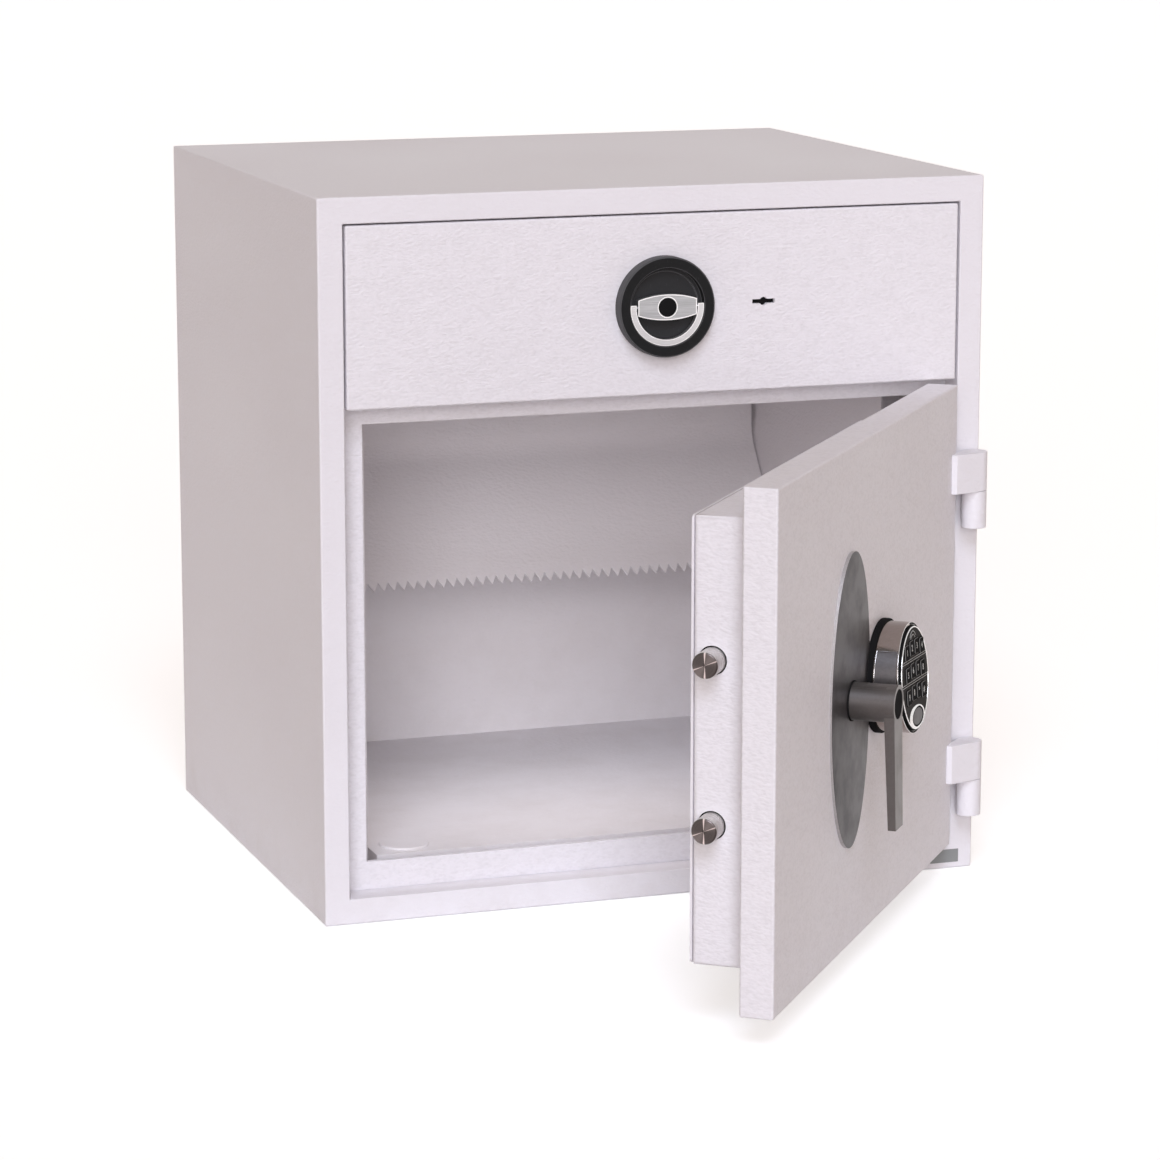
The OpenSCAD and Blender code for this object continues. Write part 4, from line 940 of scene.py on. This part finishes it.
class DROPSAFE_OT_drawer(bpy.types.Operator):
    """Round the drawer's front, pan and tray, and paint shade into the keyhole"""

    bl_idname = "drop_safe.drawer"
    bl_label = "Drawer"

    def execute(self, context):
        edge = settings().edge
        soften("drawer_front", "drawer_face", edge.drawer, "front_coat")
        soften("drawer_inner_pan", "drawer_pan", edge.sheet, "liner_coat")
        soften("deposit_tray", "tray", 0.3, "liner_coat")
        self.keyhole()
        return {"FINISHED"}

    def keyhole(self):
        """Painted shade: a black plate just behind the keyhole, so that the hole looks dark."""
        piece = block(
            "keyhole_shade",
            (KEYHOLE_X - KEYHOLE_HALF_W, SKIN_T, CUP_Z - KEYHOLE_HALF_H),
            (KEYHOLE_X + KEYHOLE_HALF_W, SKIN_T + 0.6, CUP_Z + KEYHOLE_HALF_H),
        )
        settle(piece, IN_CABINET)
        finish_piece(piece, "drawer", "black_plastic")


class DROPSAFE_OT_cup_handle(bpy.types.Operator):
    """Finish the cup handle with its eye bar and bail"""

    bl_idname = "drop_safe.cup_handle"
    bl_label = "Cup handle"

    def execute(self, context):
        # The rim's rounded edges and its outside take a lighter black, a painted highlight.
        soften("handle_cup", "cup", 0.5, ["black_metal", "cup_edge_highlight", "cup_floor", "cup_edge_highlight"], 2,
               which=self.cup_part)
        # The rounded edges and a band round the front take a near-white silver, a painted
        # highlight.
        soften("latch_eye_bar", "eye_bar", 0.4, ["satin_silver", "bright_edge_highlight"], 2,
               test=lambda e: all(v.co.y < EYE_BAR_BACK for v in e.verts), band=0.9)
        soften("bail_handle", "bail", 0.4, ["bail_silver", "bright_edge_highlight"], 2, band=0.7)
        soften("latch_spindle", "barrel", 0.3, "black_plastic")
        return {"FINISHED"}

    def cup_part(self, face):
        """The recess's floor is a lighter plastic than the rim's front, and the outside of the
        rim takes a painted highlight.
        """
        at = IN_CABINET.inverted() @ face.center
        radius = math.hypot(at.x - CUP_X, at.z - CUP_Z)
        if face.normal.y < -0.9:
            return 2 if at.y > CUP_FLOOR_Y else 0
        return 3 if radius > CUP_WALL_R else 0


class DROPSAFE_OT_door(bpy.types.Operator):
    """Round the door's plate, plug and back cover, and add the cover's screws"""

    bl_idname = "drop_safe.door"
    bl_label = "Door"

    def execute(self, context):
        edge = settings().edge
        soften("door_plate", "door_face", edge.door, "front_coat")
        soften("door_plug_pan", "door_plug", 0.4, "front_coat", 1, 50.0)
        soften("door_back_cover", "plug_cover", edge.sheet, "powder_coat")
        self.screws()
        return {"FINISHED"}

    def screws(self):
        """Six round-headed screws with a cross slot."""
        y = COVER_Y
        section = [
            (0, y + 1.6), (1.6, y + 1.55), (3.2, y + 1.1), (4, y + 0.3), (4, y), (2, y),
            (2, y - SCREW_LENGTH), (0, y - SCREW_LENGTH),
        ]
        xs = (PLUG_X0 + SCREW_INSET, (PLUG_X0 + PLUG_X1) / 2, PLUG_X1 - SCREW_INSET)
        zs = (PLUG_Z0 + SCREW_INSET, PLUG_Z1 - SCREW_INSET)
        screws = []
        for index, (x, z) in enumerate((x, z) for x in xs for z in zs):
            head = lathe(f"screw_{index}", (x, z), section, 32)
            turn = 0.4 + 0.7 * index
            for quarter in (0, math.pi / 2):
                slot = block("slot", (-2.1, y + 0.7, -0.45), (2.1, y + 2.5, 0.45))
                slot.data.transform(
                    Matrix.Translation((x, 0, z)) @ Matrix.Rotation(turn + quarter, 4, "Y")
                )
                cut_by(head, slot)
            screws.append(head)
        piece = join("back_screws", *screws)
        smooth(piece)
        settle(piece, ON_DOOR)
        finish_piece(piece, "door", "zinc_steel", ["cover_screws"])


class DROPSAFE_OT_hinges(bpy.types.Operator):
    """Round the hinge blocks"""

    bl_idname = "drop_safe.hinges"
    bl_label = "Hinges"

    def execute(self, context):
        soften("hinge_blocks", "door_hinge_blocks", settings().edge.fittings, "powder_coat")
        return {"FINISHED"}


class DROPSAFE_OT_bolts(bpy.types.Operator):
    """Turn the two sliding bolts and the two fixed dogs"""

    bl_idname = "drop_safe.bolts"
    bl_label = "Bolts"

    def execute(self, context):
        self.turned("sliding_bolts", BOLT_TIP, 96, "bolt_work", "locking_bolts", -1)
        self.turned(
            "fixed_dogs", PLUG_X1 + DOG_OUT, PLUG_X1 - DOG_IN, "door", "hinge_side_dogs", 1
        )
        soften("bolt_bushes", "bolt_guides", 0.1, "black_plastic", 1)
        return {"FINISHED"}

    def turned(self, name, tip, back, body, node, way):
        """Two rods along x, faced on a lathe at the outer end, with a centre mark there.

        Way is 1 where that end points along x, and -1 where it points back.
        """
        section = [
            (0, tip - way * 0.5), (0.8, tip - way * 0.5), (1.1, tip), (9.2, tip),
            (BOLT_R - 0.3, tip - way * 0.8), (BOLT_R, tip - way * 1.4), (BOLT_R, back), (0, back),
        ]
        pieces = []
        for index, z in enumerate(BOLT_ZS):
            piece = lathe(f"{name}_{index}", (0, 0), section)
            self.unwrap(piece, tip)
            piece.data.transform(
                Matrix.Translation((0, BOLT_Y, z)) @ Matrix.Rotation(-math.pi / 2, 4, "Z")
            )
            pieces.append(piece)
        piece = join(name, *pieces)
        # The faced ends take painted highlights and a painted dark reflection.
        mark_faces(piece, lambda f: 1 if abs(f.center.x - tip) < 0.7 else 0)
        smooth(piece)
        settle(piece, ON_DOOR)
        finish_piece(piece, body, ["turned_steel", "faced_steel_painted_reflection"], [node])

    def unwrap(self, piece, tip):
        """A UV map that runs from the axis outwards and round it, for the turning marks."""
        places = piece.data.uv_layers.new(name="turning").data
        for face in piece.data.polygons:
            middle = math.atan2(face.center.z, face.center.x)
            for corner in face.loop_indices:
                at = piece.data.vertices[piece.data.loops[corner].vertex_index].co
                reach = math.hypot(at.x, at.z)
                angle = math.atan2(at.z, at.x) if reach > 0.01 else middle
                angle += math.tau * ((middle - angle > math.pi) - (angle - middle > math.pi))
                out = reach / BOLT_R + (at.y - tip) * 0.02
                places[corner].uv = (out, angle / math.tau)


class DROPSAFE_OT_escutcheon(bpy.types.Operator):
    """Round the oval plate behind the handle"""

    bl_idname = "drop_safe.escutcheon"
    bl_label = "Escutcheon"

    def execute(self, context):
        # The plate's sides and rounded edges take a lighter metal, a painted highlight.
        soften("oval_escutcheon", "oval_plate", 0.5, ["dark_metal", "dark_edge_highlight"], 2,
               which=lambda f: 1 if abs(f.normal.dot(DOOR_FRONT)) < 0.5 else 0)
        return {"FINISHED"}


class DROPSAFE_OT_lever(bpy.types.Operator):
    """Make the hub and the lever one casting, with its disc and a black ring at its foot that
    paints the shadow gap under the hub
    """

    bl_idname = "drop_safe.lever"
    bl_label = "Lever"

    def execute(self, context):
        piece = cut_by(copy_of("handle_hub", "handle"), copy_of("handle_lever", "blade"), "UNION")
        # The rounded edges take a lighter pewter, a painted highlight.
        round_edges(piece, settings().edge.fittings * 0.7 * MM, mark=1)
        smooth(piece)
        finish_piece(
            piece, "door_handle", ["pewter", "pewter_edge_highlight"],
            ["handle_hub", "handle_lever"],
        )
        soften("hub_cap", "hub_disc", 0.3, "black_plastic")
        # Painted shadow: a thin black ring round the hub's foot stands for the shadow gap between
        # hub and plate.
        inner, outer, low, high = 15.65, 16.5, -2.85, -4.0
        foot = [
            (inner, low), (outer, low), (outer, high + 0.3), (outer - 0.3, high), (inner, high),
            (inner, low),
        ]
        ring = lathe("hub_shadow_ring", (SPINDLE_X, SPINDLE_Z), foot)
        smooth(ring)
        settle(ring, ON_DOOR)
        finish_piece(ring, "door", "black_plastic")
        return {"FINISHED"}


class DROPSAFE_OT_keypad(bpy.types.Operator):
    """Finish the keypad's base, body, face, rings, lines and badge"""

    bl_idname = "drop_safe.keypad"
    bl_label = "Keypad"

    def execute(self, context):
        soften("keypad_base", "pad_base", 0.8, "black_plastic")
        # The body's chrome takes a painted reflection, darker and tan, and its rim keeps the
        # bright chrome.
        soften("keypad_body", "pad_body", 0.5, ["pad_chrome_painted_reflection", "chrome", "black_plastic"], 3,
               which=self.inside_body)
        # Painted shade: the face's walls that don't face out take black.
        face = ["face_plastic", "face_plastic", "black_plastic"]
        soften("keypad_face", "pad_face", 0.25, face, 1,
               which=lambda f: 2 if f.normal.dot(FRONT_OUT) < 0.8 else 0)
        soften("battery_cover", "pad_battery_cover", 0.25, "cover_metal", 1)
        self.ring()
        self.lines()
        self.window()
        self.badge()
        return {"FINISHED"}

    def inside_body(self, face):
        """The wall of the body's hollow, painted black as shade, so it shows as a dark gap round
        the face.
        """
        from_door = ON_DOOR.inverted()
        at = from_door @ face.center
        outward = (at.x - PAD_X) * (from_door.to_3x3() @ face.normal).x
        outward += (at.z - PAD_Z) * face.normal.z / MM
        return 2 if outward < -1 else 0

    def place(self, piece, finishes, slot="black_plastic", nodes=()):
        smooth(piece)
        settle(piece, ON_FRONT)
        finish_piece(piece, "door", finishes, nodes)

    def ring(self):
        """The bright ring round the face."""
        radius, tube = FACE_R - 1.1, 0.6
        section = [
            (radius + tube * math.cos(a), FACE_Y + tube * math.sin(a))
            for a in [math.tau * i / 10 for i in range(11)]
        ]
        self.place(lathe("pad_ring", (0, 0), section), "chrome", "chrome")

    def lines(self):
        """Double lines printed between the rows of keys."""
        look = settings().keypad
        bars = []
        for middle in LINE_VS:
            for side in (-0.5, 0.5):
                v = middle + side * look.line_gap
                half = math.sqrt((FACE_R - LINE_INSET) ** 2 - v * v)
                bar = block(
                    "bar", (-half, FACE_Y - 0.16, v - look.line_width / 2),
                    (half, FACE_Y + 0.1, v + look.line_width / 2),
                )
                bars.append(round_edges(bar, 0.06, 1))
        self.place(join("pad_lines", *bars), "print_white")

    def window(self):
        """The outline of the small arched window over the keys."""
        arcs = []
        for radius in WINDOW_RS:
            bpy.ops.object.select_all(action="DESELECT")
            bpy.ops.mesh.primitive_circle_add(
                vertices=8, radius=0.32, fill_type="NGON", location=(radius, FACE_Y, 0)
            )
            arc = named("arc")
            bpy.ops.object.transform_apply(location=True, rotation=True, scale=True)
            edit(arc, "EDGE")
            sweep(28, WINDOW_ARC, (0, 0, 0))
            middle = sum((v.co for v in arc.data.vertices), Vector()) / len(arc.data.vertices)
            turn = math.atan2(middle.z, middle.x) - math.pi / 2
            arc.data.transform(
                Matrix.Translation((0, 0, WINDOW_V)) @ Matrix.Rotation(turn, 4, "Y")
            )
            arcs.append(arc)
        self.place(join("pad_window", *arcs), "print_white")

    def badge(self):
        """An oval surround with a dark ring and a bare plate in it."""
        section = [
            (0, -3.0), (14.6, -3.0), (15.4, -2.8), (15.8, -2.5), (17.6, -2.5), (18.0, -3.0),
            (18.9, -3.5), (20.3, -3.3), (21.6, -2.5), (22.0, -1.95), (0, -1.95),
        ]
        piece = lathe("pad_badge", (0, 0), section)
        mark_faces(piece, self.badge_part)
        piece.data.transform(
            Matrix.Translation((0, 0, BADGE_V)) @ Matrix.Diagonal((1, 1, BADGE_FLAT, 1))
        )
        self.place(piece, ["chrome", "black_plastic", "dark_metal"], "chrome", ["keypad_badge"])

    def badge_part(self, face):
        radius = math.hypot(face.center.x, face.center.z)
        if radius < BADGE_PLATE_R:
            return 2
        return 1 if radius < BADGE_RING_R and face.center.y < BADGE_DEEP_Y else 0


class DROPSAFE_OT_keys(bpy.types.Operator):
    """Round the keys and put a plain character on each"""

    bl_idname = "drop_safe.keys"
    bl_label = "Keys"

    def execute(self, context):
        labels = ["1", "2", "3", "4", "5", "6", "7", "8", "9", "0", "star", "hash"]
        for place, label in enumerate(labels):
            node = f"key_{label}"
            # The keys' rounded edges take a light grey, a painted highlight.
            soften(node, f"pad_key_{label}", 0.45, ["black_plastic", "key_edge"], 2)
            self.character(context, node, {"star": "*", "hash": "#"}.get(label, label), place)
        return {"FINISHED"}

    def character(self, context, node, mark, place):
        row, column = divmod(place, KEYS_IN_ROW)
        off = abs(column - (KEYS_IN_ROW - 1) / 2)
        u = (column - (KEYS_IN_ROW - 1) / 2) * KEY_PITCH
        v = ROW_RISE + (1 - row) * ROW_PITCH - ROW_ARC * (off - 0.5)
        bpy.ops.object.select_all(action="DESELECT")
        bpy.ops.object.text_add(location=(0, 0, 0))
        text = context.active_object
        text.name = f"mark_{node}"
        text.data.body = mark
        text.data.align_x = "CENTER"
        text.data.align_y = "CENTER"
        text.data.size = settings().keypad.digit_size * 1.35
        text.data.offset = 0.10
        text.data.extrude = 0.06
        text.data.resolution_u = 3
        only(text)
        bpy.ops.object.convert(target="MESH")
        piece = context.active_object
        settle(piece, ON_FRONT @ Matrix.Translation((u, KEY_Y - 0.05, v))
               @ Matrix.Rotation(math.pi / 2, 4, "X"))
        finish_piece(piece, node, "print_white")


STEPS = [
    DROPSAFE_OT_stage,
    DROPSAFE_OT_finishes,
    DROPSAFE_OT_cabinet,
    DROPSAFE_OT_drawer,
    DROPSAFE_OT_cup_handle,
    DROPSAFE_OT_door,
    DROPSAFE_OT_hinges,
    DROPSAFE_OT_bolts,
    DROPSAFE_OT_escutcheon,
    DROPSAFE_OT_lever,
    DROPSAFE_OT_keypad,
    DROPSAFE_OT_keys,
]


class DROPSAFE_PT_panel(bpy.types.Panel):
    """Lists the safe's pieces and settings"""

    bl_idname = "DROPSAFE_PT_panel"
    bl_label = "Drop safe"
    bl_space_type = "VIEW_3D"
    bl_region_type = "UI"
    bl_category = "Drop Safe"

    def draw(self, context):
        for step in STEPS:
            self.layout.operator(step.bl_idname)
        values = context.scene.drop_safe
        for part in (values.stage, values.finish, values.edge, values.keypad):
            box = self.layout.box()
            for name in part.__annotations__:
                box.prop(part, name)


CLASSES = [
    SafeStageSettings,
    SafeFinishSettings,
    SafeEdgeSettings,
    SafeKeypadSettings,
    DropSafeSettings,
    *STEPS,
    DROPSAFE_PT_panel,
]


def register():
    for item in CLASSES:
        bpy.utils.register_class(item)
    bpy.types.Scene.drop_safe = PointerProperty(type=DropSafeSettings)


def unregister():
    del bpy.types.Scene.drop_safe
    for item in reversed(CLASSES):
        bpy.utils.unregister_class(item)


def main():
    """Makes every piece in order."""
    register()
    for step in STEPS:
        group, name = step.bl_idname.split(".")
        getattr(getattr(bpy.ops, group), name)()


if __name__ == "__main__":
    main()
